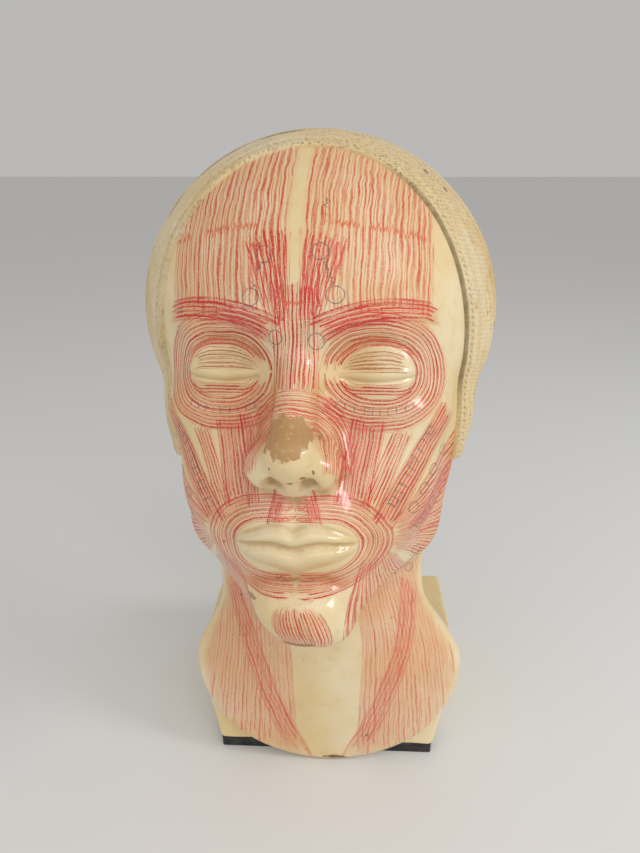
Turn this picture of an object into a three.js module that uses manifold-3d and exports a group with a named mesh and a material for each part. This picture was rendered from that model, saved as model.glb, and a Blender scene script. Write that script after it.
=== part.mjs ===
// Anatomical study mask: a life-size plaster face with a cloth-cap band and neck, leaning back on a
// tapered plaster block cast in one with it, on a thin black foot plate.
// Millimetres, +Z up, the face looks along -Y. The origin is the centre of the foot plate's underside.

import * as THREE from "three";
import { mergeVertices } from "three/addons/utils/BufferGeometryUtils.js";
import Module from "manifold-3d";

// Driving dimensions of the stand
const FOOT_WIDTH = 107;
const FOOT_DEPTH = 88;
const FOOT_THICKNESS = 5.8;
const SEAT_GAP = 0.3;
const BLOCK_FOOT_OVERHANG = 0.9;
const BLOCK_TOP_HEIGHT = 47;
const BLOCK_SIDE_SLOPE = Math.tan(THREE.MathUtils.degToRad(15.2));

// Where the mask's rim plane stands: it leans back, and the head is a little left of the foot
const LEAN = THREE.MathUtils.degToRad(17.4);
const EYE_LEVEL_HEIGHT = 177;
const EYE_LEVEL_BACK = 5;
const HEAD_SIDE_SHIFT = -5;
const NECK_SIDE_RETURN = 5.6;
const FACE_TURN = 0.075;
const TURN_FADES_FROM = -70;
const TURN_FADES_TO = -118;
const RETURN_ENDS_AT = -128;

// The casting behind the rim plane, and the lip that hangs in front of the foot plate
const RIM_THICKNESS = 8;
const RIM_INSET = 1.5;
const BACK_CENTRE_LEVEL = -30;
const LIP_CLEARANCE = 1.0;
const FOOT_CLEARANCE = 0.6;

// The mask's own frame: x to the side, f forward of the rim plane, z up along it, 0 at ear level
const CROWN_LEVEL = 118;
const LIP_LEVEL = -184.5;
const JAW_LEVEL = -60;
const THROAT_LEVEL = -94;
const FLARE_LEVEL = -134;
const NECK_HALF_WIDTH = 49.4;
const JAW_HALF_WIDTH = 52;
const FLARE_HALF_WIDTH = 66.4;
const THROAT_DEPTH = 27;
const LIP_DEPTH = 2.5;
const NECK_SWELL = 2;

// Lips, lids and folds are raised forward of the face, and fade out at its sides
const RELIEF_STRENGTH = 0.9;
const RELIEF_STARTS_AT = 20;
const RELIEF_FULL_AT = 45;

// Forms of the head, in the order they are joined: where each stands, its size, and the width over
// which it blends into the ones before it. A pair stands on both sides, and a hollow is taken away.
const SKULL = { centre: [0, -14, 41], radii: [79.5, 95, 77.5] };
const FACE_FORMS = {
  forehead: { centre: [0, 38, 43], radii: [46, 40, 37], blend: 18 },
  face: { centre: [0, 8, -20], radii: [58, 58, 64], blend: 16 },
  cheekbones: { centre: [37, 39, -7], radii: [20, 22, 12.5], blend: 17 },
  jawSides: { from: [51, 6, -10], to: [42, 12, -57], startRadius: 14, endRadius: 11.5, blend: 18 },
  jawLine: { from: [38, 16, -60], to: [5, 59, -84.5], startRadius: 12.5, endRadius: 13.5, blend: 18 },
  muzzle: { centre: [0, 50, -50], radii: [33, 30, 31], blend: 14 },
  cheeks: { centre: [27, 38, -36], radii: [25, 27, 28], blend: 14 },
  chin: { centre: [0, 64, -83.5], radii: [17, 15, 13], blend: 9 },
  brows: { from: [9, 69, 27], to: [37, 59, 28], startRadius: 7.5, endRadius: 7, blend: 10 },
  eyeHollows: { centre: [29, 79, 12], radii: [17, 12, 11], blend: 9, hollow: true },
  lids: { centre: [30, 54.5, 10.5], radii: [15.5, 14, 12.5], blend: 6 },
  noseWedge: { from: [0, 62, 16], to: [0, 72, -20], startRadius: 8, endRadius: 14, blend: 9 },
  noseRidge: { from: [0, 71, 19], to: [0, 90, -18], startRadius: 5.5, endRadius: 7.6, blend: 6 },
  noseBall: { centre: [0, 91, -20.5], radii: [9, 9.4, 8], blend: 5 },
  noseWings: { centre: [11.2, 80.5, -25.5], radii: [6.6, 10.5, 7.6], blend: 6 },
  nosePost: { from: [0, 90, -26], to: [0, 80, -33], startRadius: 3.6, endRadius: 4.4, blend: 3.5 },
  nostrils: { centre: [6.6, 86, -32], radii: [3.2, 5.2, 5], blend: 1.6, hollow: true },
};

// Cloth cap: an oval opening round the face, a hem a thread high and a thicker edge at the rim
const OPENING_HALF_WIDTH = 68;
const OPENING_BASE = -30;
const OPENING_HEIGHT = 129;
const OPENING_SIDE_POWER = 2.1;
const OPENING_TOP_POWER = 2.6;
const CAP_HEM_HEIGHT = 2.0;
const CAP_RIM_HEIGHT = 4.2;
const CAP_THICKENS_OVER = 35;
const CAP_EMBED = 12;
const HEM_RAY_START = 0.8;
const HEM_RAY_DEPTH = 60;
const RIM_RAY_REACH = 120;

// Fineness of the facets
const FACE_COLUMNS = 48;
const FRONT_SHARE = 0.46;
const CAP_COLUMNS = 44;
const CAP_ROWS = 6;
const RAY_START = 0.35;
const RAY_REACH = 1.3;
const RAY_STEPS = 40;
const BISECTIONS = 22;

// Smooth joins and soft steps
const clamp = THREE.MathUtils.clamp;
const ramp = (from, to, value) => {
  const t = clamp((value - from) / (to - from), 0, 1);
  return t * t * (3 - 2 * t);
};
const bell = (value, centre, width) => Math.exp(-(((value - centre) / width) ** 2));
const join = (a, b, radius) => {
  const h = clamp(0.5 + (0.5 * (b - a)) / radius, 0, 1);
  return b + (a - b) * h - radius * h * (1 - h);
};
const carve = (a, b, radius) => -join(-a, -b, radius);

// Depth of a point under an ellipsoid's skin, negative inside
function ellipsoid([x, f, z], [cx, cf, cz], [rx, rf, rz]) {
  const [ux, uf, uz] = [(x - cx) / rx, (f - cf) / rf, (z - cz) / rz];
  const near = Math.hypot(ux, uf, uz) + 1e-9;
  const slope = Math.hypot(ux / rx, uf / rf, uz / rz) + 1e-9;
  return (near * (near - 1)) / slope;
}

// Distance to a cone with round ends, from one point and radius to another
function roundCone([x, f, z], [ax, af, az], [bx, bf, bz], startRadius, endRadius) {
  const [dx, df, dz] = [bx - ax, bf - af, bz - az];
  const [px, pf, pz] = [x - ax, f - af, z - az];
  const t = clamp((px * dx + pf * df + pz * dz) / (dx * dx + df * df + dz * dz), 0, 1);
  return Math.hypot(px - dx * t, pf - df * t, pz - dz * t) - (startRadius + (endRadius - startRadius) * t);
}

// The head: the skull, and each form of the face joined softly to the ones before it
function headField(x, f, z) {
  const point = [Math.abs(x), f, z];
  let head = ellipsoid(point, SKULL.centre, SKULL.radii);
  for (const form of Object.values(FACE_FORMS)) {
    const skin = form.centre
      ? ellipsoid(point, form.centre, form.radii)
      : roundCone(point, form.from, form.to, form.startRadius, form.endRadius);
    head = form.hollow ? carve(head, -skin, form.blend) : join(head, skin, form.blend);
  }
  return head;
}

// A rounded swell from 0 to 1 and back over the unit interval
const swell = (t) => (t > -0.09 && t < 1.06 ? Math.sqrt(Math.max(4 * edge(t) * (1 - edge(t)), 0)) : 0);
const edge = (t) => clamp(t * 0.86 + 0.08, 0, 1);

// The closed mouth: two lips that swell forward over a parting line, and the hollows round them
function mouthDepth(x, z) {
  const across = clamp(x / 25.5, 0, 1);
  const parting = -55 - 0.9 * bell(x, 0, 5) + 0.7 * bell(x, 9, 6) - 0.6 * across ** 3;
  const upper = 7.2 * Math.max(1 - across ** 1.7, 0) ** 0.9 - 1.3 * bell(x, 0, 2.6);
  const lower = 9.2 * Math.max(1 - across ** 2.2, 0) ** 0.9;
  const fade = 1 - across ** 3;
  let depth = 3.1 * fade * swell((z - parting) / Math.max(upper, 0.5));
  depth += 3.9 * fade * swell((parting - z) / Math.max(lower, 0.5));
  depth -= 1.5 * bell(z, parting, 1.3) * (1 - across ** 6);
  const abovelip = ramp(-49, -45, z) * (1 - ramp(-37, -33, z));
  depth += (0.4 * bell(x, 5.4, 2.6) - 0.8 * bell(x, 0, 3)) * abovelip;
  depth -= 2.6 * bell(z, -71, 4.5) * bell(x, 0, 17);
  return depth - 1.6 * bell(x, 27, 4) * bell(z, -56.5, 5);
}

// The closed lids: a lash line that hangs a little and the crease over it, and the nose to mouth fold
function lidDepth(x, z) {
  const bow = Math.max(1 - ((x - 30.5) / 15.5) ** 2, 0);
  const lash = 8.2 - 2.4 * bow + 0.05 * (x - 30);
  const width = Math.max(1 - ((x - 30.5) / 16.5) ** 4, 0);
  const crease = 13.5 + 7.2 * clamp(1 - ((x - 30) / 17.5) ** 2, -0.3, 1);
  const fold = x - (16.5 + (-28 - z) * 0.42);
  let depth = (0.45 * bell(z, lash + 1.8, 1.2) - 0.85 * bell(z, lash, 0.8)) * width;
  depth -= bell(z, crease, 1.5) * Math.max(1 - ((x - 30) / 18) ** 4, 0);
  return depth - bell(fold, 0, 3.6) * ramp(-54, -42, z) * (1 - ramp(-32, -26, z));
}

// The neck: at each level an arc through the rim's half width and the depth in front of the rim plane,
// ended below by a rounded lip
function neckField(x, f, z) {
  const side = Math.abs(x);
  const throat = JAW_HALF_WIDTH + (NECK_HALF_WIDTH - JAW_HALF_WIDTH) * ramp(JAW_LEVEL, THROAT_LEVEL + 2, z);
  const width = throat + (FLARE_HALF_WIDTH - NECK_HALF_WIDTH) * ramp(THROAT_LEVEL, FLARE_LEVEL, z);
  const down = clamp((THROAT_LEVEL - 6 - z) / 81, 0, 1.1);
  const swelled = NECK_SWELL * Math.sin(Math.PI * Math.min(down, 1));
  const depth = THREE.MathUtils.lerp(THROAT_DEPTH, LIP_DEPTH, down) + swelled;
  const radius = (width * width + depth * depth) / (2 * depth);
  const arc = Math.hypot(side, f - (depth - radius)) - radius;
  const below = Math.max(FLARE_LEVEL + 4 - z, 0) / (FLARE_LEVEL + 4 - LIP_LEVEL);
  const oval = ((side / FLARE_HALF_WIDTH) ** 1.9 + below ** 1.9) ** (1 / 1.9);
  return carve(carve(arc, (oval - 1) * 50, 2.5), z - JAW_LEVEL, 10);
}

// The whole mask in its own frame, without the cap; the head turns a little, the neck does not
function maskField(x, f, z) {
  const turned = x + FACE_TURN * f * (1 - ramp(TURN_FADES_FROM, TURN_FADES_TO, z));
  const side = Math.abs(turned);
  const strength = RELIEF_STRENGTH * ramp(RELIEF_STARTS_AT, RELIEF_FULL_AT, f);
  const relief = strength * (mouthDepth(side, z) + lidDepth(side, z));
  return join(headField(turned, f, z) - relief, neckField(x, f, z), 11);
}

// The cap's cloth lies on the head and thickens towards the rim
function capField(x, f, z) {
  const height = THREE.MathUtils.lerp(CAP_RIM_HEIGHT, CAP_HEM_HEIGHT, ramp(0, CAP_THICKENS_OVER, f));
  return maskField(x, f, z) - height;
}

// From the mask's own frame to the part's frame
function place([x, f, z]) {
  const neckShift = NECK_SIDE_RETURN * ramp(TURN_FADES_FROM, RETURN_ENDS_AT, z);
  return [
    x + HEAD_SIDE_SHIFT + neckShift,
    EYE_LEVEL_BACK - f * Math.cos(LEAN) + z * Math.sin(LEAN),
    EYE_LEVEL_HEIGHT + f * Math.sin(LEAN) + z * Math.cos(LEAN),
  ];
}

// The first place where a ray from inside leaves the body of a field
function skinPoint(field, origin, target) {
  const at = (t) => origin.map((value, i) => value + (target[i] - value) * t);
  let inside = RAY_START;
  for (let i = 1; i <= RAY_STEPS; i += 1) {
    const t = RAY_START + (RAY_REACH * i) / RAY_STEPS;
    if (field(...at(t)) > 0) {
      let outside = t;
      for (let k = 0; k < BISECTIONS; k += 1) {
        const middle = (inside + outside) / 2;
        [inside, outside] = field(...at(middle)) > 0 ? [inside, middle] : [middle, outside];
      }
      return at(inside);
    }
    inside = t;
  }
  throw new Error("a ray never leaves the body");
}

// Stations down the mask that the rays aim at, from the crown to the lip: front f, front z, side x,
// side z and the level that the rays start from, with the rows from each station to the next
const STATIONS = [
  [0, CROWN_LEVEL, 0, CROWN_LEVEL, 60],
  [40, 110, 46, 106, 45],
  [66, 85, 72, 82, 30],
  [80, 52, 82, 52, 20],
  [84, 20, 83, 20, 10],
  [92, -12, 80, -8, 0],
  [86, -42, 72, -34, -10],
  [84, -72, 62, -56, -22],
  [76, -95, 57, -74, -40],
  [60, -98, 56, -80, -42],
  [44, -92, 55, -86, -48],
  [32, -88, 54, -92, -62],
  [27.5, -96, 53.5, -97, -82],
  [27, -106, 53, -105, -100],
  [17, -128, 58, -128, -122],
  [7, -156, 56, -150, -135],
  [5, -170, 43, -168, -140],
  [4, -180, 23, -180, -145],
  [2, LIP_LEVEL, 0, LIP_LEVEL, -145],
];
const ROWS_BETWEEN = [3, 4, 6, 9, 10, 11, 12, 7, 4, 3, 3, 2, 2, 3, 3, 3, 3, 3];

// All the rows' stations, evenly spaced between each pair above, without the crown and the lip
const rowStations = ROWS_BETWEEN.flatMap((count, i) =>
  Array.from({ length: count }, (_, k) =>
    STATIONS[i].map((value, axis) => THREE.MathUtils.lerp(value, STATIONS[i + 1][axis], k / count)),
  ),
).slice(1);

// One row of the mask from rim to rim: columns are closer together over the face than at the sides
function maskRow([frontF, frontZ, sideX, sideZ, startZ]) {
  const row = [];
  for (let column = 0; column <= FACE_COLUMNS; column += 1) {
    const s = (2 * column) / FACE_COLUMNS - 1;
    const turn = (Math.PI / 2) * (FRONT_SHARE * s + (1 - FRONT_SHARE) * s ** 3);
    const [c, n] = [Math.cos(turn), Math.sin(turn)];
    const target = [sideX * n, frontF * c, sideZ + (frontZ - sideZ) * c * c];
    if (Math.abs(s) === 1) target[1] = 0;
    row.push(skinPoint(maskField, [0, 0, startZ], target));
  }
  return row;
}

// Every point eased towards its neighbours, so that no fold is narrower than the facets
function eased(rows) {
  const blend = (before, point, after) => point.map((value, k) => (before[k] + 2 * value + after[k]) / 4);
  const inner = (list, i) => i > 0 && i < list.length - 1;
  const across = rows.map((row) =>
    row.map((point, i) => (inner(row, i) ? blend(row[i - 1], point, row[i + 1]) : point)),
  );
  return across.map((row, j) =>
    inner(rows, j) ? row.map((point, i) => blend(across[j - 1][i], point, across[j + 1][i])) : row,
  );
}

// A rim point carried back to the flat back of the casting, a little inside the rim
function backPoint([x, , z]) {
  const up = z - BACK_CENTRE_LEVEL;
  const keep = 1 - RIM_INSET / Math.hypot(x, up);
  return [x * keep, -RIM_THICKNESS, BACK_CENTRE_LEVEL + up * keep];
}

// A closed geometry from rings of points, each ring closed on itself, with a single point at each end
function ringBody(first, rings, last) {
  const points = [first, ...rings.flat(), last];
  const size = rings[0].length;
  const faces = [];
  const index = (ring, k) => 1 + ring * size + (k % size);
  for (let k = 0; k < size; k += 1) {
    faces.push(0, index(0, k + 1), index(0, k));
    faces.push(points.length - 1, index(rings.length - 1, k), index(rings.length - 1, k + 1));
    for (let ring = 1; ring < rings.length; ring += 1) {
      const [a, b] = [index(ring - 1, k), index(ring - 1, k + 1)];
      const [c, d] = [index(ring, k), index(ring, k + 1)];
      faces.push(a, b, d, a, d, c);
    }
  }
  const geometry = new THREE.BufferGeometry();
  geometry.setAttribute("position", new THREE.Float32BufferAttribute(points.map(place).flat(), 3));
  geometry.setIndex(faces);
  return geometry;
}

// Face, skull and neck as one closed body: every ring runs round the front and back along the flat back
function maskGeometry() {
  const rows = eased(rowStations.map(maskRow)).reverse();
  const rings = rows.map((front) => [...front, backPoint(front.at(-1)), backPoint(front[0])]);
  const end = ([, , , level, start]) => skinPoint(maskField, [0, 0, start], [0, 0, level]);
  return ringBody(end(STATIONS.at(-1)), rings, end(STATIONS[0]));
}

// The cap as a thick shell: each section runs from the hem over the cloth to the rim and back underneath
function capSection(angle) {
  const sideways = Math.abs(Math.cos(angle)) ** (2 / OPENING_SIDE_POWER);
  const hemX = OPENING_HALF_WIDTH * Math.sign(Math.cos(angle)) * sideways;
  const hemUp = OPENING_HEIGHT * Math.sin(angle) ** (2 / OPENING_TOP_POWER);
  const start = [0, 0, OPENING_BASE];
  const inside = [hemX * HEM_RAY_START, 0, OPENING_BASE + hemUp * HEM_RAY_START];
  const hem = skinPoint(maskField, inside, [hemX, HEM_RAY_DEPTH, OPENING_BASE + hemUp]);
  const rimReach = RIM_RAY_REACH / Math.hypot(hemX, hemUp);
  const [outer, inner] = [[], []];
  for (let row = 0; row <= CAP_ROWS; row += 1) {
    const t = row / CAP_ROWS;
    const spread = THREE.MathUtils.lerp(1, rimReach, t);
    const target = [hemX * spread, hem[1] * (1 - t), OPENING_BASE + hemUp * spread];
    const [x, f, z] = skinPoint(capField, start, target);
    const keep = 1 - CAP_EMBED / Math.hypot(x, f, z - OPENING_BASE);
    outer.push([x, f, z]);
    inner.push([x * keep, f * keep, OPENING_BASE + (z - OPENING_BASE) * keep]);
  }
  return [...outer, backPoint(outer.at(-1)), backPoint(inner.at(-1)), ...inner.reverse()];
}

function capGeometry() {
  const rings = [];
  for (let column = 0; column <= CAP_COLUMNS; column += 1) {
    rings.push(capSection((Math.PI * column) / CAP_COLUMNS));
  }
  const middle = (ring) => [0, 1, 2].map((k) => ring.reduce((sum, point) => sum + point[k], 0) / ring.length);
  return ringBody(middle(rings[0]), rings, middle(rings.at(-1)));
}

// The block: wider above than below, its front parallel to the rim plane and just behind it
function blockGeometry() {
  const bottom = FOOT_THICKNESS + SEAT_GAP;
  const halfWidth = FOOT_WIDTH / 2 + BLOCK_FOOT_OVERHANG;
  const frontBottom = -FOOT_DEPTH / 2 - BLOCK_FOOT_OVERHANG;
  const geometry = new THREE.BoxGeometry(2, 2, 2);
  const position = geometry.getAttribute("position");
  for (let i = 0; i < position.count; i += 1) {
    const height = position.getZ(i) > 0 ? BLOCK_TOP_HEIGHT - bottom : 0;
    const front = frontBottom + height * Math.tan(LEAN);
    const y = position.getY(i) > 0 ? FOOT_DEPTH / 2 : front;
    position.setXYZ(i, position.getX(i) * (halfWidth + height * BLOCK_SIDE_SLOPE), y, bottom + height);
  }
  return geometry;
}

// A box between two corners
function boxBetween([x0, y0, z0], [x1, y1, z1]) {
  const geometry = new THREE.BoxGeometry(x1 - x0, y1 - y0, z1 - z0);
  return geometry.translate((x0 + x1) / 2, (y0 + y1) / 2, (z0 + z1) / 2);
}

const wasm = await Module();
wasm.setup();

// A closed three.js geometry as a solid
function toSolid(geometry) {
  const bare = geometry.clone();
  bare.deleteAttribute("normal");
  bare.deleteAttribute("uv");
  const merged = mergeVertices(bare, 1e-4);
  const vertProperties = new Float32Array(merged.getAttribute("position").array);
  const triVerts = new Uint32Array(merged.getIndex().array);
  return new wasm.Manifold(new wasm.Mesh({ numProp: 3, vertProperties, triVerts }));
}

function toGeometry(solid) {
  const mesh = solid.getMesh();
  const geometry = new THREE.BufferGeometry();
  geometry.setAttribute("position", new THREE.BufferAttribute(mesh.vertProperties, 3));
  geometry.setIndex(new THREE.BufferAttribute(mesh.triVerts, 1));
  geometry.computeVertexNormals();
  return geometry;
}

// The casting: mask, cap and block in one, trimmed clear of the foot plate and of the table
function plasterHead() {
  const wide = FOOT_WIDTH;
  const footRoom = boxBetween(
    [-wide, -FOOT_DEPTH / 2 - FOOT_CLEARANCE, -wide],
    [wide, wide, FOOT_THICKNESS + SEAT_GAP],
  );
  const tableRoom = boxBetween([-wide, -wide, -wide], [wide, wide, LIP_CLEARANCE]);
  const casting = toSolid(maskGeometry())
    .add(toSolid(capGeometry()))
    .add(toSolid(blockGeometry()))
    .subtract(toSolid(footRoom))
    .subtract(toSolid(tableRoom));
  const plaster = new THREE.MeshStandardMaterial({ color: 0xd9c79a, roughness: 0.35, metalness: 0 });
  const mesh = new THREE.Mesh(toGeometry(casting), plaster);
  mesh.name = "plaster_head";
  return mesh;
}

function footPlate() {
  const black = new THREE.MeshStandardMaterial({ color: 0x16161a, roughness: 0.4, metalness: 0 });
  const mesh = new THREE.Mesh(new THREE.BoxGeometry(FOOT_WIDTH, FOOT_DEPTH, FOOT_THICKNESS), black);
  mesh.position.z = FOOT_THICKNESS / 2;
  mesh.name = "foot_plate";
  return mesh;
}

const studyMask = new THREE.Group();
studyMask.add(plasterHead(), footPlate());

export default studyMask;
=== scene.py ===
"""An anatomical study mask: glossy plaster face with pencilled muscles, cloth-cap band, block and foot plate.

Sizes are millimetres until a mesh is made. The mask has a frame of its own: x to the side, f forward of the
rim plane, z up along it, 0 at ear level. The part's frame has the face looking along -Y and +Z up.
"""

import logging
import math
from dataclasses import dataclass
from enum import Enum
from functools import partial, reduce
from typing import Callable, Union

import bpy
import numpy as np
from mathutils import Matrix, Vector


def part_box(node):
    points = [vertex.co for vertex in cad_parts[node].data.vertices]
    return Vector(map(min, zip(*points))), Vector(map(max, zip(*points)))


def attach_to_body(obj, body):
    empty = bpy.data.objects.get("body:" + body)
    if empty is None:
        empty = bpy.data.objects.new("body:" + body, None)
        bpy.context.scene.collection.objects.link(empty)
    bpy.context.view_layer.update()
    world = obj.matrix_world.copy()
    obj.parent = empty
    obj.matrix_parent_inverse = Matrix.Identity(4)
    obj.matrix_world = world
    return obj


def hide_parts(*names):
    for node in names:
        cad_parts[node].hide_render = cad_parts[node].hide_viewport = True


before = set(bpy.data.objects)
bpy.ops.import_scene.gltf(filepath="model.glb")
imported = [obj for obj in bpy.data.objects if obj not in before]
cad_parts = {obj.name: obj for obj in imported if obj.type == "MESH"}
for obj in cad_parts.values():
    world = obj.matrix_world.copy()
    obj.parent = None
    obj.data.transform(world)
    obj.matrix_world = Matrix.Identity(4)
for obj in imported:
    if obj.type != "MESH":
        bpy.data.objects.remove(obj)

Array = np.ndarray
Field = Callable[[Array, Array, Array], Array]

MM = 0.001
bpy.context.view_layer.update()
LOG = logging.getLogger("study_mask")


def ramp(low: float, high: float, value: Array) -> Array:
    """Soft step: 0 below low, 1 above high, 3t^2 - 2t^3 between, also where high is the smaller."""
    t = np.clip((value - low) / (high - low), 0, 1)
    return t * t * (3 - 2 * t)


def bell(value: Array, centre: float, width: float) -> Array:
    """Bell curve: e to the minus squared distance from the centre, counted in widths."""
    return np.exp(-(((value - centre) / width) ** 2))


def join(a: Array, b: Array, radius: float) -> Array:
    """Smooth smaller of two distances: the lower one, less a parabola where they are closer than radius."""
    h = np.clip(0.5 + 0.5 * (b - a) / radius, 0, 1)
    return b + (a - b) * h - radius * h * (1 - h)


def carve(a: Array, b: Array, radius: float) -> Array:
    """Smooth larger of two distances, the mirror of join."""
    return -join(-a, -b, radius)


def ripple(points: Array, size: float, seed: int, waves: int = 9) -> Array:
    """Gentle unevenness: sine waves of seeded directions, 0.7 to 1.6 sizes long, added and scaled by the root
    of their number, so that the values stay about within -1 to 1.

    Args:
        points: places in millimetres, the last axis holding three coordinates.
        size: mean length of a wave.
        seed: number that fixes the directions.
        waves: how many waves are added.

    Returns:
        One value a point.
    """
    rng = np.random.default_rng(seed)
    directions = rng.normal(size=(waves, 3))
    directions /= np.linalg.norm(directions, axis=1, keepdims=True)
    lengths = size * rng.uniform(0.7, 1.6, waves)
    phases = rng.uniform(0, 2 * math.pi, waves)
    angles = points @ (directions / lengths[:, None]).T * 2 * math.pi + phases
    return np.sin(angles).mean(axis=-1) * math.sqrt(waves) / 1.6


@dataclass(frozen=True)
class Ball:
    """An ellipsoid of the head, with the width over which it blends into the forms before it."""

    centre: tuple[float, float, float]
    radii: tuple[float, float, float]
    blend: float = 0.0
    hollow: bool = False

    def skin(self, x: Array, f: Array, z: Array) -> Array:
        """Distance to the skin, roughly: k(k - 1) over the slope of k, k being the scaled distance.

        Args:
            x: side places.
            f: depths forward of the rim plane.
            z: levels.

        Returns:
            Distances, negative inside.
        """
        u, v, w = ((p - c) / r for p, c, r in zip((x, f, z), self.centre, self.radii))
        near = np.sqrt(u * u + v * v + w * w) + 1e-9
        a, b, c = self.radii
        slope = np.sqrt((u / a) ** 2 + (v / b) ** 2 + (w / c) ** 2) + 1e-9
        return near * (near - 1) / slope


@dataclass(frozen=True)
class Cone:
    """A cone with round ends, from one point and radius to another, blended as a ball is."""

    start: tuple[float, float, float]
    end: tuple[float, float, float]
    start_radius: float
    end_radius: float
    blend: float
    hollow: bool = False

    def skin(self, x: Array, f: Array, z: Array) -> Array:
        """Distance to the axis between the ends, less the radius at the nearest place on it.

        Args:
            x: side places.
            f: depths forward of the rim plane.
            z: levels.

        Returns:
            Distances, negative inside.
        """
        p = [value - origin for value, origin in zip((x, f, z), self.start)]
        d = [b - a for a, b in zip(self.start, self.end)]
        t = np.clip(sum(a * b for a, b in zip(p, d)) / sum(b * b for b in d), 0, 1)
        away = np.sqrt(sum((a - b * t) ** 2 for a, b in zip(p, d)))
        return away - (self.start_radius + (self.end_radius - self.start_radius) * t)


FACE_FORMS = (
    Ball((0, 38, 43), (46, 40, 37), 18),
    Ball((0, 8, -20), (58, 58, 64), 16),
    Ball((37, 39, -7), (20, 22, 12.5), 17),
    Cone((51, 6, -10), (42, 12, -57), 14, 11.5, 18),
    Cone((38, 16, -60), (5, 59, -84.5), 12.5, 13.5, 18),
    Ball((0, 50, -50), (33, 30, 31), 14),
    Ball((27, 38, -36), (25, 27, 28), 14),
    Ball((0, 64, -83.5), (17, 15, 13), 9),
    Cone((9, 69, 27), (37, 59, 28), 7.5, 7, 10),
    Ball((29, 79, 12), (17, 12, 11), 9, hollow=True),
    Ball((30, 54.5, 10.5), (15.5, 14, 12.5), 6),
    Cone((0, 62, 16), (0, 72, -20), 8, 14, 9),
    Cone((0, 71, 19), (0, 90, -18), 5.5, 7.6, 6),
    Ball((0, 90.5, -20.5), (9, 9.1, 8), 5),
    Ball((11.2, 80.5, -25.5), (6.6, 10.5, 7.6), 6),
    Cone((0, 90, -26), (0, 80, -33), 3.6, 4.4, 3.5),
)


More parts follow.
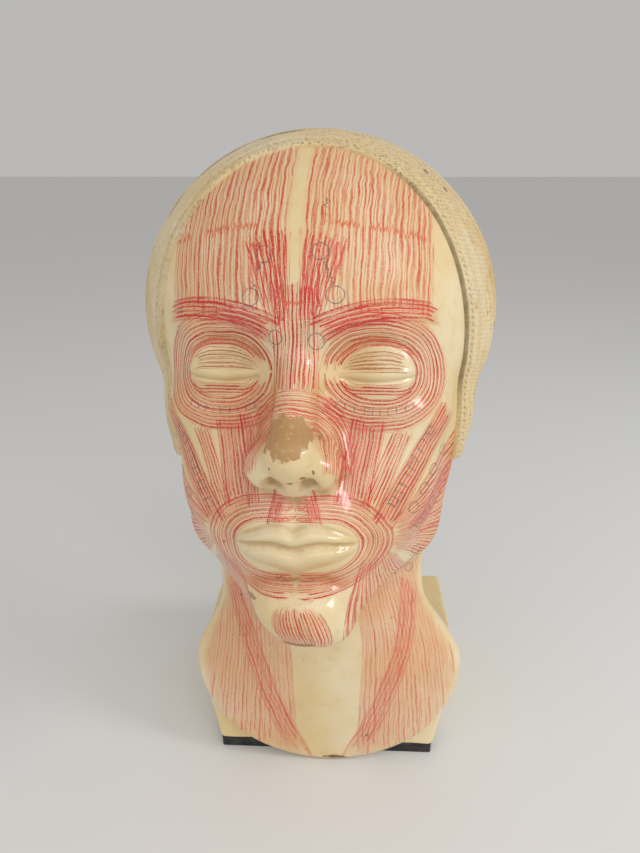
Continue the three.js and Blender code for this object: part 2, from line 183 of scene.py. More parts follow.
@dataclass(frozen=True)
class MaskForm:
    """The mask's form as a field, negative inside, and its place in the part's frame."""

    skull: Ball = Ball((0, -14, 41), (79.5, 95, 77.5))
    nostrils: Ball = Ball((6.6, 86, -32), (3.2, 5.2, 5), 1.6, hollow=True)
    lean: float = math.radians(17.4)
    eye_level_height: float = 177.0
    eye_level_back: float = 5.0
    head_side_shift: float = -5.0
    neck_side_return: float = 5.6
    face_turn: float = 0.075
    relief_strength: float = 0.9
    mouth_level: float = -55.0
    mouth_half_width: float = 25.5
    jaw_level: float = -60.0
    throat_level: float = -94.0
    flare_level: float = -134.0
    lip_level: float = -184.5
    crown_level: float = 118.0
    jaw_half_width: float = 52.0
    neck_half_width: float = 49.4
    flare_half_width: float = 66.4
    throat_depth: float = 27.0
    lip_depth: float = 2.5
    neck_swell: float = 2.0
    lash_middle: float = 30.5
    crease_middle: float = 30.0

    def turned(self, x: Array, f: Array, z: Array) -> Array:
        """Side place on the face, which turns a little to one side; the turn fades out down the neck."""
        return x + self.face_turn * f * (1 - ramp(-70, -118, z))

    def mouth(self, x: Array, z: Array) -> Array:
        """Forward relief of the closed mouth: two lips swell as sine arches on both sides of a parting line,
        with the groove above, the hollow below and the dimples at the corners taken away.

        Args:
            x: distance from the middle of the face.
            z: level.

        Returns:
            Depth to add, forward of the face.
        """
        upper_height, lower_height, least_height = 7.2, 9.2, 0.5
        upper_swell, lower_swell = 3.1, 3.9
        parting_depth, groove_depth, hollow_depth, dimple_depth = 1.5, 0.9, 2.6, 1.6
        across = np.clip(x / self.mouth_half_width, 0, 1)
        fade = 1 - across**3
        parting = self.mouth_level - 0.9 * bell(x, 0, 5) + 0.7 * bell(x, 9, 6) - 0.6 * across**3
        upper = upper_height * np.maximum(1 - across**1.7, 0) ** 0.9 - 1.3 * bell(x, 0, 2.6)
        lower = lower_height * np.maximum(1 - across**2.2, 0) ** 0.9
        depth = np.zeros_like(x)
        for swell, rise, height in ((upper_swell, z - parting, upper), (lower_swell, parting - z, lower)):
            share = rise / np.maximum(height, least_height)
            arch = np.sin(math.pi * np.clip((share + 0.12) / 1.24, 0, 1))
            depth += swell * fade * arch**1.15
        depth -= parting_depth * bell(z - parting, 0, 1.5) * (1 - across**6)
        above = ramp(-50, -45, z) * (1 - ramp(-37, -33, z))
        depth += (0.45 * bell(x, 5.4, 2.4) - groove_depth * bell(x, 0, 3)) * above
        depth -= hollow_depth * bell(z, -71, 4.5) * bell(x, 0, 17)
        return depth - dimple_depth * bell(x, 27, 4) * bell(z, -56.5, 5)

    def lash_level(self, x: Array) -> Array:
        """Level of the closed lashes: a shallow hanging arc across the eye."""
        hang = np.maximum(1 - ((x - self.lash_middle) / 15.5) ** 2, 0)
        return 8.2 - 2.4 * hang + 0.05 * (x - self.crease_middle)

    def crease_level(self, x: Array) -> Array:
        """Level of the fold over the lid: a parabola over the eye."""
        return 13.5 + 7.2 * np.clip(1 - ((x - self.crease_middle) / 17.5) ** 2, -0.3, 1)

    def lids(self, x: Array, z: Array) -> Array:
        """Forward relief of the closed eyes and of the fold from nose to mouth.

        Args:
            x: distance from the middle of the face.
            z: level.

        Returns:
            Depth to add, forward of the face.
        """
        lash_depth, crease_depth, fold_depth = 0.95, 1.0, 1.0
        lash = z - self.lash_level(x)
        width = np.maximum(1 - ((x - self.lash_middle) / 16.5) ** 4, 0)
        depth = (0.5 * bell(lash, 1.9, 1.2) - lash_depth * bell(lash, 0, 0.75)) * width
        depth += 0.25 * bell(lash, -1.6, 1.0) * width
        crease_width = np.maximum(1 - ((x - self.crease_middle) / 18) ** 4, 0)
        depth -= crease_depth * bell(z - self.crease_level(x), 0, 1.4) * crease_width
        fold = x - (16.5 + (-28 - z) * 0.42)
        return depth - fold_depth * bell(fold, 0, 3.6) * ramp(-54, -42, z) * (1 - ramp(-32, -26, z))

    def head(self, x: Array, f: Array, z: Array) -> Array:
        """Field of skull and face: each form is joined to, or carved from, the ones before it.

        Args:
            x: side places.
            f: depths forward of the rim plane.
            z: levels.

        Returns:
            The head's field.
        """
        side = np.abs(x)
        field = self.skull.skin(side, f, z)
        for form in (*FACE_FORMS, self.nostrils):
            skin = form.skin(side, f, z)
            field = carve(field, -skin, form.blend) if form.hollow else join(field, skin, form.blend)
        return field

    def neck(self, x: Array, f: Array, z: Array) -> Array:
        """Field of the neck: at each level an arc through the rim's half width and the depth in front of the
        rim plane, ended below by an oval lip.

        Args:
            x: side places.
            f: depths forward of the rim plane.
            z: levels.

        Returns:
            The neck's field.
        """
        chest_top, chest_length = self.throat_level - 6, 81
        oval_top, oval_power, oval_steepness = self.flare_level + 4, 1.9, 50
        lip_blend, top_blend = 2.5, 10
        narrowing = ramp(self.jaw_level, self.throat_level + 2, z)
        width = self.jaw_half_width + (self.neck_half_width - self.jaw_half_width) * narrowing
        flare = self.flare_half_width - self.neck_half_width
        width = width + flare * ramp(self.throat_level, self.flare_level, z)
        down = np.clip((chest_top - z) / chest_length, 0, 1.1)
        swelled = self.neck_swell * np.sin(math.pi * np.minimum(down, 1))
        depth = self.throat_depth + (self.lip_depth - self.throat_depth) * down + swelled
        radius = (width**2 + depth**2) / (2 * depth)
        arc = np.hypot(x, f - (depth - radius)) - radius
        below = np.maximum(oval_top - z, 0) / (oval_top - self.lip_level)
        oval = ((np.abs(x) / self.flare_half_width) ** oval_power + below**oval_power) ** (1 / oval_power)
        return carve(carve(arc, (oval - 1) * oval_steepness, lip_blend), z - self.jaw_level, top_blend)

    def field(self, x: Array, f: Array, z: Array) -> Array:
        """Field of the whole mask without its cap: the head less its relief, joined to the neck.

        Args:
            x: side places.
            f: depths forward of the rim plane.
            z: levels.

        Returns:
            The mask's field.
        """
        throat_blend = 11
        turned = self.turned(x, f, z)
        side = np.abs(turned)
        relief = self.relief_strength * (self.mouth(side, z) + self.lids(side, z)) * ramp(20, 45, f)
        return join(self.head(turned, f, z) - relief, self.neck(x, f, z), throat_blend)

    def place(self, points: Array) -> Array:
        """From the mask's own frame to the part's frame: shifted at the neck, leaned back and lifted.

        Args:
            points: places (x, f, z) on the last axis.

        Returns:
            Places (x, y, z) in the part's frame.
        """
        x, f, z = np.moveaxis(points, -1, 0)
        side = x + self.head_side_shift + self.neck_side_return * ramp(-70, -128, z)
        y = self.eye_level_back - f * math.cos(self.lean) + z * math.sin(self.lean)
        up = self.eye_level_height + f * math.sin(self.lean) + z * math.cos(self.lean)
        return np.stack([side, y, up], axis=-1)


def skin_points(field: Field, origins: Array, targets: Array) -> Array:
    """First places where rays from inside leave a body: marched outwards in even steps, then halved.

    Args:
        field: the body's field, negative inside.
        origins: where the rays start, inside the body.
        targets: where they aim; a ray is followed from 0.35 to 1.65 of the way.

    Returns:
        One place a ray, on the body's skin.
    """
    start, reach, steps, halvings = 0.35, 1.3, 40, 15
    shape = origins.shape[:-1]
    origin = origins.reshape(-1, 3)
    along = targets.reshape(-1, 3) - origin
    inner = np.full(len(origin), start)
    outer = np.full(len(origin), start + reach)
    open_rays = np.arange(len(origin))
    for step in range(1, steps + 1):
        t = start + reach * step / steps
        place = origin[open_rays] + along[open_rays] * t
        left = field(place[:, 0], place[:, 1], place[:, 2]) > 0
        outer[open_rays[left]] = t
        open_rays = open_rays[~left]
        inner[open_rays] = t
        if len(open_rays) == 0:
            break
    for _ in range(halvings):
        middle = (inner + outer) / 2
        place = origin + along * middle[:, None]
        outside = field(place[:, 0], place[:, 1], place[:, 2]) > 0
        outer = np.where(outside, middle, outer)
        inner = np.where(outside, inner, middle)
    return (origin + along * inner[:, None]).reshape(*shape, 3)


def grid_normals(points: Array) -> Array:
    """Unit normals of a grid of places: the cross product of its row and column slopes."""
    normal = np.cross(np.gradient(points, axis=1), np.gradient(points, axis=0))
    return normal / (np.linalg.norm(normal, axis=-1, keepdims=True) + 1e-12)


def lengths_along(points: Array, axis: int) -> Array:
    """Distance travelled along one axis of a grid of places, 0 at its start.

    Args:
        points: rows and columns of places.
        axis: 0 to travel down the columns, 1 along the rows.

    Returns:
        One distance a place.
    """
    steps = np.linalg.norm(np.diff(points, axis=axis), axis=-1)
    pad = [(0, 0), (0, 0)]
    pad[axis] = (1, 0)
    return np.pad(np.cumsum(steps, axis=axis), pad)


@dataclass
class Surface:
    """A closed surface from rings of places, each ring closed on itself, with a single place at each end."""

    rings: Array
    first: Array
    last: Array

    def vertices(self) -> Array:
        """All places: the first end, the rings in order and the last end."""
        return np.concatenate([self.first[None], self.rings.reshape(-1, 3), self.last[None]])

    def faces(self) -> tuple[Array, Array]:
        """Quads between neighbouring rings, and the fans of triangles at the two ends.

        Returns:
            Rows of four and rows of three vertex numbers.
        """
        count, size = self.rings.shape[:2]
        index = 1 + np.arange(count * size).reshape(count, size)
        after = np.roll(index, -1, axis=1)
        quads = np.stack([index[:-1], after[:-1], after[1:], index[1:]], axis=-1).reshape(-1, 4)
        top = np.stack([np.zeros_like(after[0]), after[0], index[0]], axis=-1)
        end = np.full_like(index[-1], count * size + 1)
        bottom = np.stack([end, index[-1], after[-1]], axis=-1)
        return quads, np.concatenate([top, bottom])

    def mesh(self, name: str) -> bpy.types.Mesh:
        """Smooth mesh in metres with its faces outwards: turned round where the enclosed volume is negative.

        Args:
            name: the mesh's name.

        Returns:
            The mesh.
        """
        vertices = self.vertices() * MM
        quads, triangles = self.faces()
        halves = np.concatenate([triangles, quads[:, [0, 1, 2]], quads[:, [0, 2, 3]]])
        a, b, c = (vertices[halves[:, k]] for k in range(3))
        if np.einsum("ij,ij->i", a, np.cross(b, c)).sum() < 0:
            quads, triangles = quads[:, ::-1], triangles[:, ::-1]
        mesh = bpy.data.meshes.new(name)
        mesh.from_pydata(vertices.tolist(), [], quads.tolist() + triangles.tolist())
        mesh.shade_smooth()
        mesh.update()
        return mesh


def in_scene(name: str, data: object) -> bpy.types.Object:
    """A new object with its data, linked to the scene.

    Args:
        name: the object's name.
        data: its mesh, camera or lamp.

    Returns:
        The object.
    """
    thing = bpy.data.objects.new(name, data)
    bpy.context.scene.collection.objects.link(thing)
    return thing


def attach(name: str, mesh: bpy.types.Mesh, material: bpy.types.Material, node: str) -> bpy.types.Object:
    """A finished piece: an object at the origin that rides on the body and stands for a CAD node.

    Args:
        name: the piece's name.
        mesh: its mesh, in metres.
        material: its finish.
        node: the CAD node that it stands for.

    Returns:
        The piece.
    """
    mesh.materials.append(material)
    piece = in_scene(name, mesh)
    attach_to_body(piece, "root")
    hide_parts(node)
    return piece


class Lay(Enum):
    """How the strokes of a muscle lie."""

    STRAIGHT = "side by side along one direction"
    FAN = "spread from one point"
    RING = "round a short level line"
    SPINDLE = "from pole to pole, swelling between them"


class Pencil(Enum):
    """The pencils that the muscles are drawn with; the value is the tone that the finish reads."""

    RED = 0.0
    SOFT_RED = 0.55
    ROSE = 1.0
    BROWN = 2.0


def wrapped(angle: Array) -> Array:
    """The same angles between minus and plus half a turn."""
    return np.arctan2(np.sin(angle), np.cos(angle))


@dataclass(frozen=True)
class Muscle:
    """One drawn muscle, laid out from a place (w round the face from the middle, z up), in millimetres.

    Along and across are the ranges that its strokes fill. In a fan across is in degrees from the direction,
    and in a ring along is in degrees and across is the distance out, over the aspect sideways. A spindle's
    poles are half a line away on both sides, and across holds at its thickest place. The distance from its
    sides counts side_weight times, so only the strokes' ends are ragged.
    """

    lay: Lay
    place: tuple[float, float]
    along: tuple[float, float]
    across: tuple[float, float]
    pitch: float = 2.0
    direction: float = 90.0
    bend: float = 0.0
    half_line: float = 0.0
    aspect: float = 1.0
    pencil: Pencil = Pencil.RED
    both_sides: bool = True
    on_neck: bool = False
    clear_of_middle: float = -1.0
    clear_of_rim: float = 2.0
    side_weight: float = 4.0
    jaw_fade: float = 3.0

    def marks(self, w: Array, z: Array, rim: Array, below_jaw: Array) -> Array:
        """Stroke number, distance along the stroke and distance inside the muscle's outline.

        Straight strokes are numbered across their direction, with a parabola of the bend added, a fan's by
        the angle times its mean radius, a ring's by the distance from its line, and a spindle's by the share
        of its thickness.

        Args:
            w: distance round the face.
            z: level.
            rim: distance from the mask's rim.
            below_jaw: distance below the fold between jaw and neck.

        Returns:
            Vectors of the three values; the last is negative outside.
        """
        side = np.abs(w) if self.both_sides else w
        dx, dz = side - self.place[0], z - self.place[1]
        turn = math.radians(self.direction)
        forward = dx * math.cos(turn) + dz * math.sin(turn)
        sideways = dz * math.cos(turn) - dx * math.sin(turn)
        end_scale = side_scale = np.ones_like(w)
        if self.lay is Lay.STRAIGHT:
            along = ends = forward
            sides = sideways + self.bend * along**2
            number = sides / self.pitch
        elif self.lay is Lay.FAN:
            along = ends = np.hypot(dx, dz)
            angle = wrapped(np.arctan2(dz, dx) - turn)
            sides, side_scale = np.degrees(angle), np.radians(along)
            number = angle * np.mean(self.along) / self.pitch
        elif self.lay is Lay.SPINDLE:
            along = ends = forward
            side_scale = np.sqrt(np.maximum(1 - (along / self.half_line) ** 2, 0.06))
            sides = sideways / side_scale
            number = sides / self.pitch
        else:
            sides = np.hypot(np.maximum(np.abs(dx) - self.half_line, 0) / self.aspect, dz)
            angle = wrapped(np.arctan2(dz, dx / self.aspect) - turn)
            along = angle * np.mean(self.across)
            ends, end_scale = np.degrees(angle), np.radians(sides)
            number = sides / self.pitch
        limits = [
            np.minimum(ends - self.along[0], self.along[1] - ends) * end_scale,
            np.minimum(sides - self.across[0], self.across[1] - sides) * side_scale * self.side_weight,
            rim - self.clear_of_rim,
            self.jaw_fade + self.jaw_fade * (below_jaw if self.on_neck else -below_jaw),
        ]
        if self.both_sides:
            limits.append(side - self.clear_of_middle)
        return np.stack([number, along, np.minimum.reduce(limits)], axis=-1)


# The layers of the drawing. Where muscles of one layer meet, a place is drawn in the one it lies deepest in
LAYERS = {
    "sheet": (
        Muscle(Lay.STRAIGHT, (0, 30), (0, 92), (-54, -1.6), 2.5, pencil=Pencil.SOFT_RED),
        Muscle(Lay.FAN, (30, -54), (8, 60), (-48, 41), 2.2, 3),
        Muscle(Lay.FAN, (30, -50), (13, 60), (-14, 38), 2.1, -97),
        Muscle(
            Lay.FAN, (22, 60), (120, 250), (-1.9, 15.5), 2.2, -90,
            pencil=Pencil.ROSE, on_neck=True, clear_of_rim=1.6,
        ),
    ),
    "middle": (
        Muscle(Lay.RING, (0, -56), (-180, 180), (9.6, 20.6), 1.35, 0, half_line=9, aspect=1.45),
        Muscle(Lay.RING, (31, 9), (-172, -8), (4.0, 9.6), 1.25, 0, half_line=8, aspect=1.25),
        Muscle(
            Lay.SPINDLE, (0, -88), (-10.6, 10.6), (-11.5, 11.5), 1.35, 90, half_line=12.5, both_sides=False
        ),
        Muscle(Lay.RING, (0, -24), (-104, 104), (13.5, 27.5), 1.5, 90, aspect=0.82, both_sides=False),
        Muscle(Lay.STRAIGHT, (0, 0), (0, 41), (-8.5, 8.5), 1.5, 90, both_sides=False),
    ),
    "ribbon": (
        Muscle(Lay.STRAIGHT, (32, -50), (0, 57), (-6, 5.5), 1.6, 58, bend=0.001),
        Muscle(Lay.STRAIGHT, (47, -56), (0, 50), (-4.5, 5), 2.0, 49, bend=0.002, pencil=Pencil.SOFT_RED),
        Muscle(Lay.STRAIGHT, (20, -42), (0, 35), (-8.5, 7), 1.5, 80),
        Muscle(Lay.STRAIGHT, (6.5, 23), (0, 49), (-5.2, 5.0), 1.8, 28, bend=0.0068),
        Muscle(Lay.STRAIGHT, (5, -34), (0, 14), (-2.8, 2.8), 1.2, -76),
        Muscle(
            Lay.STRAIGHT, (9, -187), (0, 105), (-6.5, 5), 2.2, 63, bend=-0.0012,
            pencil=Pencil.ROSE, on_neck=True, clear_of_rim=1.6,
        ),
    ),
    "eye": (
        Muscle(
            Lay.RING, (31, 9), (-180, 180), (9.0, 23.5), 1.4, 0, half_line=2, aspect=1.32, clear_of_middle=7.5
        ),
        Muscle(Lay.FAN, (1, 0), (26, 60), (-15, 4), 1.8, 86),
        Muscle(Lay.STRAIGHT, (27.5, -43), (0, 35), (-5, 3.8), 1.4, 66),
        Muscle(
            Lay.SPINDLE, (30.5, 8.4), (-15.5, 13), (0.4, 9.5), 1.55, 0, half_line=16.5, pencil=Pencil.BROWN
        ),
    ),
}


@dataclass(frozen=True)
class Scribble:
    """A row of pencil in the place of a note: its middle, length, height, slope and bend. It is a wavy
    scribble, grey or orange, or the rungs of a ladder.
    """

    place: tuple[float, float]
    length: float
    height: float = 1.0
    direction: float = 0.0
    bend: float = 0.0
    orange: float = 0.0
    ladder: float = 0.0


SCRIBBLES = (
    Scribble((-31, 60), 46, 1.2, 2, orange=1),
    Scribble((29, 61), 42, 1.2, -3, orange=1),
    Scribble((30.5, 21.5), 30, 0.8, 0, -0.028, orange=1),
    Scribble((-30.5, 21.5), 30, 0.8, 0, -0.028, orange=1),
    Scribble((30.5, -6), 34, 0.55, 0, 0.012, ladder=1),
    Scribble((-30.5, -6), 34, 0.55, 0, 0.012, ladder=1),
    Scribble((0, 33), 14, 0.9, 0, orange=1),
    Scribble((0, -41), 24, 0.9, 0, orange=1),
    Scribble((1, -44.5), 18, 0.7, 3, orange=1),
    Scribble((0, -69.5), 26, 0.7, 0, 0.01, orange=0.5),
    Scribble((46, -27), 36, 0.9, 58, ladder=1),
    Scribble((-46, -27), 40, 0.9, -58, ladder=1),
    Scribble((58, -43), 30, 0.7, 48, ladder=1),
    Scribble((-57, -43), 28, 0.7, -48, ladder=1),
    Scribble((60, -58), 26, 0.7, 2, orange=1),
    Scribble((43, -77), 20, 0.9, 42),
    Scribble((-36, -80), 14, 0.8, -25),
    Scribble((12, 43.5), 9, 0.6, -70),
    Scribble((-13.5, 42.5), 9, 0.6, 72),
    Scribble((10, 68), 12, 0.5, 88),
)

# Pencilled rings: place on the face and radius
RINGS = (
    (-11, 50, 2.9), (9, 51, 2.9), (-16, 35, 3.0), (14.5, 36, 3.1), (-7, 21, 2.6), (7.5, 20, 2.7),
    (47, -44, 2.5), (52, -37, 2.4), (57, -30, 2.2), (63, -23, 2.0), (50, -68, 2.3), (46, -82, 2.2),
    (-50, -40, 2.2), (-56, -32, 2.0),
)

# Chips through the varnish: place on the face, half width, half height, and how brown they are
CHIPS = (
    (-0.5, -13.5, 8.2, 7.6, 0.12), (8.6, -25.5, 0.5, 1.1, 0.5), (5, -27.5, 1.1, 0.5, 0.6),
    (0.5, -29.5, 1.2, 0.5, 0.5), (9.5, -14, 0.6, 1.4, 0.4), (-6, -24, 0.5, 0.5, 0.6),
    (-27, -86, 4.2, 1.5, 0.8), (4, -183, 6.0, 1.6, 0.9), (-31, -58, 0.9, 0.6, 0.6), (20, -168, 1.3, 0.8, 0.5),
    (46, 71, 0.9, 0.6, 0.7), (-40, -97, 1.0, 0.7, 0.6), (-52, 26, 0.8, 0.6, 0.6), (33, -104, 0.8, 0.6, 0.7),
    (-4, -95, 7.0, 1.2, 0.6), (-19, -78, 2.6, 1.0, 0.2),
)


def nearest_spot(across: Array, up: Array, spots: Array) -> tuple[Array, Array]:
    """Distance from the nearest spot's middle, counted in its half sizes, and that spot's last value.

    Args:
        across: first coordinate.
        up: second coordinate.
        spots: rows of first and second coordinate, two half sizes and a value.

    Returns:
        The distance, and the value.
    """
    middle_across, middle_up, half_width, half_height, value = spots.T
    away = np.hypot((across[:, None] - middle_across) / half_width, (up[:, None] - middle_up) / half_height)
    return away.min(axis=1), value[away.argmin(axis=1)]


@dataclass(frozen=True)
class Drawing:
    """The pencil drawing, as values at the mask's vertices that its finish turns into strokes."""

    form: MaskForm
    drum_radius: float = 80.0
    outside: float = -8.0
    row_reach: float = 2.8
    row_shift: float = 41.0

    def place(self, own: Array) -> tuple[Array, Array]:
        """Distance round the face, as on an upright drum (its radius times the angle whose sine is the side
        place over the radius), and the level.

        Args:
            own: vertices in the mask's own frame.

        Returns:
            w and z.
        """
        x, f, z = np.moveaxis(own, -1, 0)
        share = np.clip(self.form.turned(x, f, z) / self.drum_radius, -0.985, 0.985)
        return self.drum_radius * np.arcsin(share), z

    def below_jaw(self, own: Array) -> Array:
        """How far a place lies below the fold between jaw and neck: the head's field less the neck's."""
        x, f, z = np.moveaxis(own, -1, 0)
        return self.form.head(self.form.turned(x, f, z), f, z) - self.form.neck(x, f, z)

    def layer(self, muscles: tuple[Muscle, ...], *places: Array) -> tuple[Array, Array]:
        """Marks of one layer: each vertex takes those of the muscle that it lies deepest in.

        Args:
            muscles: the layer's muscles.
            places: distance round the face, level, distance from the rim and distance below the jaw.

        Returns:
            Vectors (stroke number, along, inside), and the pencil's tone.
        """
        marks = np.stack([muscle.marks(*places) for muscle in muscles])
        tones = np.array([muscle.pencil.value for muscle in muscles])
        deepest = np.argmax(marks[..., 2], axis=0)
        best = marks[deepest, np.arange(len(deepest))]
        best[:, 2] = np.maximum(best[:, 2], self.outside)
        return best, tones[deepest]

    def scribbles(self, w: Array, z: Array) -> tuple[Array, Array]:
        """Along, offset and inside of the nearest row of scribble, and how orange or ladder-like it is.

        Args:
            w: distance round the face.
            z: level.

        Returns:
            Vectors (along, offset, inside), and vectors (orange, ladder, 0).
        """
        rows = []
        for number, row in enumerate(SCRIBBLES):
            turn = math.radians(row.direction)
            dx, dz = w - row.place[0], z - row.place[1]
            along = dx * math.cos(turn) + dz * math.sin(turn)
            offset = dz * math.cos(turn) - dx * math.sin(turn) - row.bend * along**2
            inside = np.minimum(row.length / 2 - np.abs(along), self.row_reach * row.height - np.abs(offset))
            rows.append(np.stack([along + self.row_shift * number, offset / row.height, inside], axis=-1))
        rows = np.stack(rows)
        deepest = np.argmax(rows[..., 2], axis=0)
        best = rows[deepest, np.arange(len(w))]
        best[:, 2] = np.maximum(best[:, 2], self.outside)
        return best, np.array([(row.orange, row.ladder, 0) for row in SCRIBBLES])[deepest]

    def values(self, own: Array) -> dict[str, Array]:
        """All values of the drawing, by the name of the vertex attribute.

        Args:
            own: vertices in the mask's own frame.

        Returns:
            Vectors or numbers, one a vertex.
        """
        spot_clearance, moved_off = 1.5, 9
        w, z = self.place(own)
        rim, below_jaw = own[:, 1], self.below_jaw(own)
        found: dict[str, Array] = {}
        for name, muscles in LAYERS.items():
            found[f"{name}_marks"], found[f"{name}_tone"] = self.layer(muscles, w, z, rim, below_jaw)
        found["scribble_marks"], found["scribble_tone"] = self.scribbles(w, z)
        found["scribble_marks"][:, 2] = np.minimum(found["scribble_marks"][:, 2], rim - 1)
        rings = np.array([(across, up, size, size, size) for across, up, size in RINGS])
        found["ring_away"], found["ring_size"] = nearest_spot(w, z, rings)
        found["chip_away"], found["chip_brown"] = nearest_spot(w, z, np.array(CHIPS))
        for name in ("ring_away", "chip_away"):
            found[name] += moved_off * ramp(spot_clearance, 0.5, rim)
        found["side"] = ramp(-0.5, 0.5, w)
        dull_forehead = 0.85 * ramp(22, 42, z)
        dull_cheek = 0.6 * ramp(42, 56, np.abs(w)) * ramp(-90, -80, z)
        found["polish"] = (1 - dull_forehead) * (1 - dull_cheek)
        return found


def set_values(mesh: bpy.types.Mesh, values: dict[str, Array]) -> None:
    """Stores vectors or numbers at the mesh's vertices, each under its name.

    Args:
        mesh: the mesh.
        values: one array a name, in the order of the vertices.
    """
    for name, data in values.items():
        kind, key = ("FLOAT_VECTOR", "vector") if data.ndim == 2 else ("FLOAT", "value")
        attribute = mesh.attributes.new(name, kind, "POINT")
        attribute.data.foreach_set(key, np.ascontiguousarray(data, dtype=np.float32).ravel())


def hollowness(rings: Array, reach: int, depth: float) -> Array:
    """How far each place of a closed grid lies below its surroundings: the mean of the places a few steps
    away on both sides, less the place, along the outward normal, counted in a depth and evened out twice.

    Args:
        rings: rows of places, each row closed on itself.
        reach: how many steps away.
        depth: depth that counts as 1.

    Returns:
        Values from -1 on ridges to 1 in hollows.
    """
    padded = np.pad(rings, ((reach, reach), (0, 0), (0, 0)), mode="edge")
    around = padded[2 * reach :] + padded[: -2 * reach]
    around = around + np.roll(rings, reach, axis=1) + np.roll(rings, -reach, axis=1)
    rise = around / 4 - rings
    normal = np.cross(np.roll(rings, -1, axis=1) - np.roll(rings, 1, axis=1), np.gradient(rings, axis=0))
    normal /= np.linalg.norm(normal, axis=-1, keepdims=True) + 1e-12
    middle = rings.mean(axis=(0, 1))
    facing = np.sign((normal * (rings - middle)).sum(axis=-1).mean())
    hollow = facing * (rise * normal).sum(axis=-1) / depth
    for _ in range(2):
        rows = np.pad(hollow, ((1, 1), (0, 0)), mode="edge")
        beside = np.roll(hollow, 1, axis=1), np.roll(hollow, -1, axis=1)
        hollow = (rows[2:] + rows[:-2] + 2 * hollow + beside[0] + beside[1]) / 6
    return np.clip(hollow, -1, 1)


def hollow_values(rings: Array) -> Array:
    """Fine and broad hollowness of a closed surface: over a few steps, and over many.

    Args:
        rings: the surface's rings.

    Returns:
        Vectors (fine, broad, 0), one a vertex; each end takes the value of its neighbour.
    """
    fine, broad = hollowness(rings, 2, 0.22), hollowness(rings, 7, 2.2)
    marks = np.stack([fine, broad, np.zeros_like(fine)], axis=-1).reshape(-1, 3)
    return np.concatenate([marks[:1], marks, marks[-1:]])


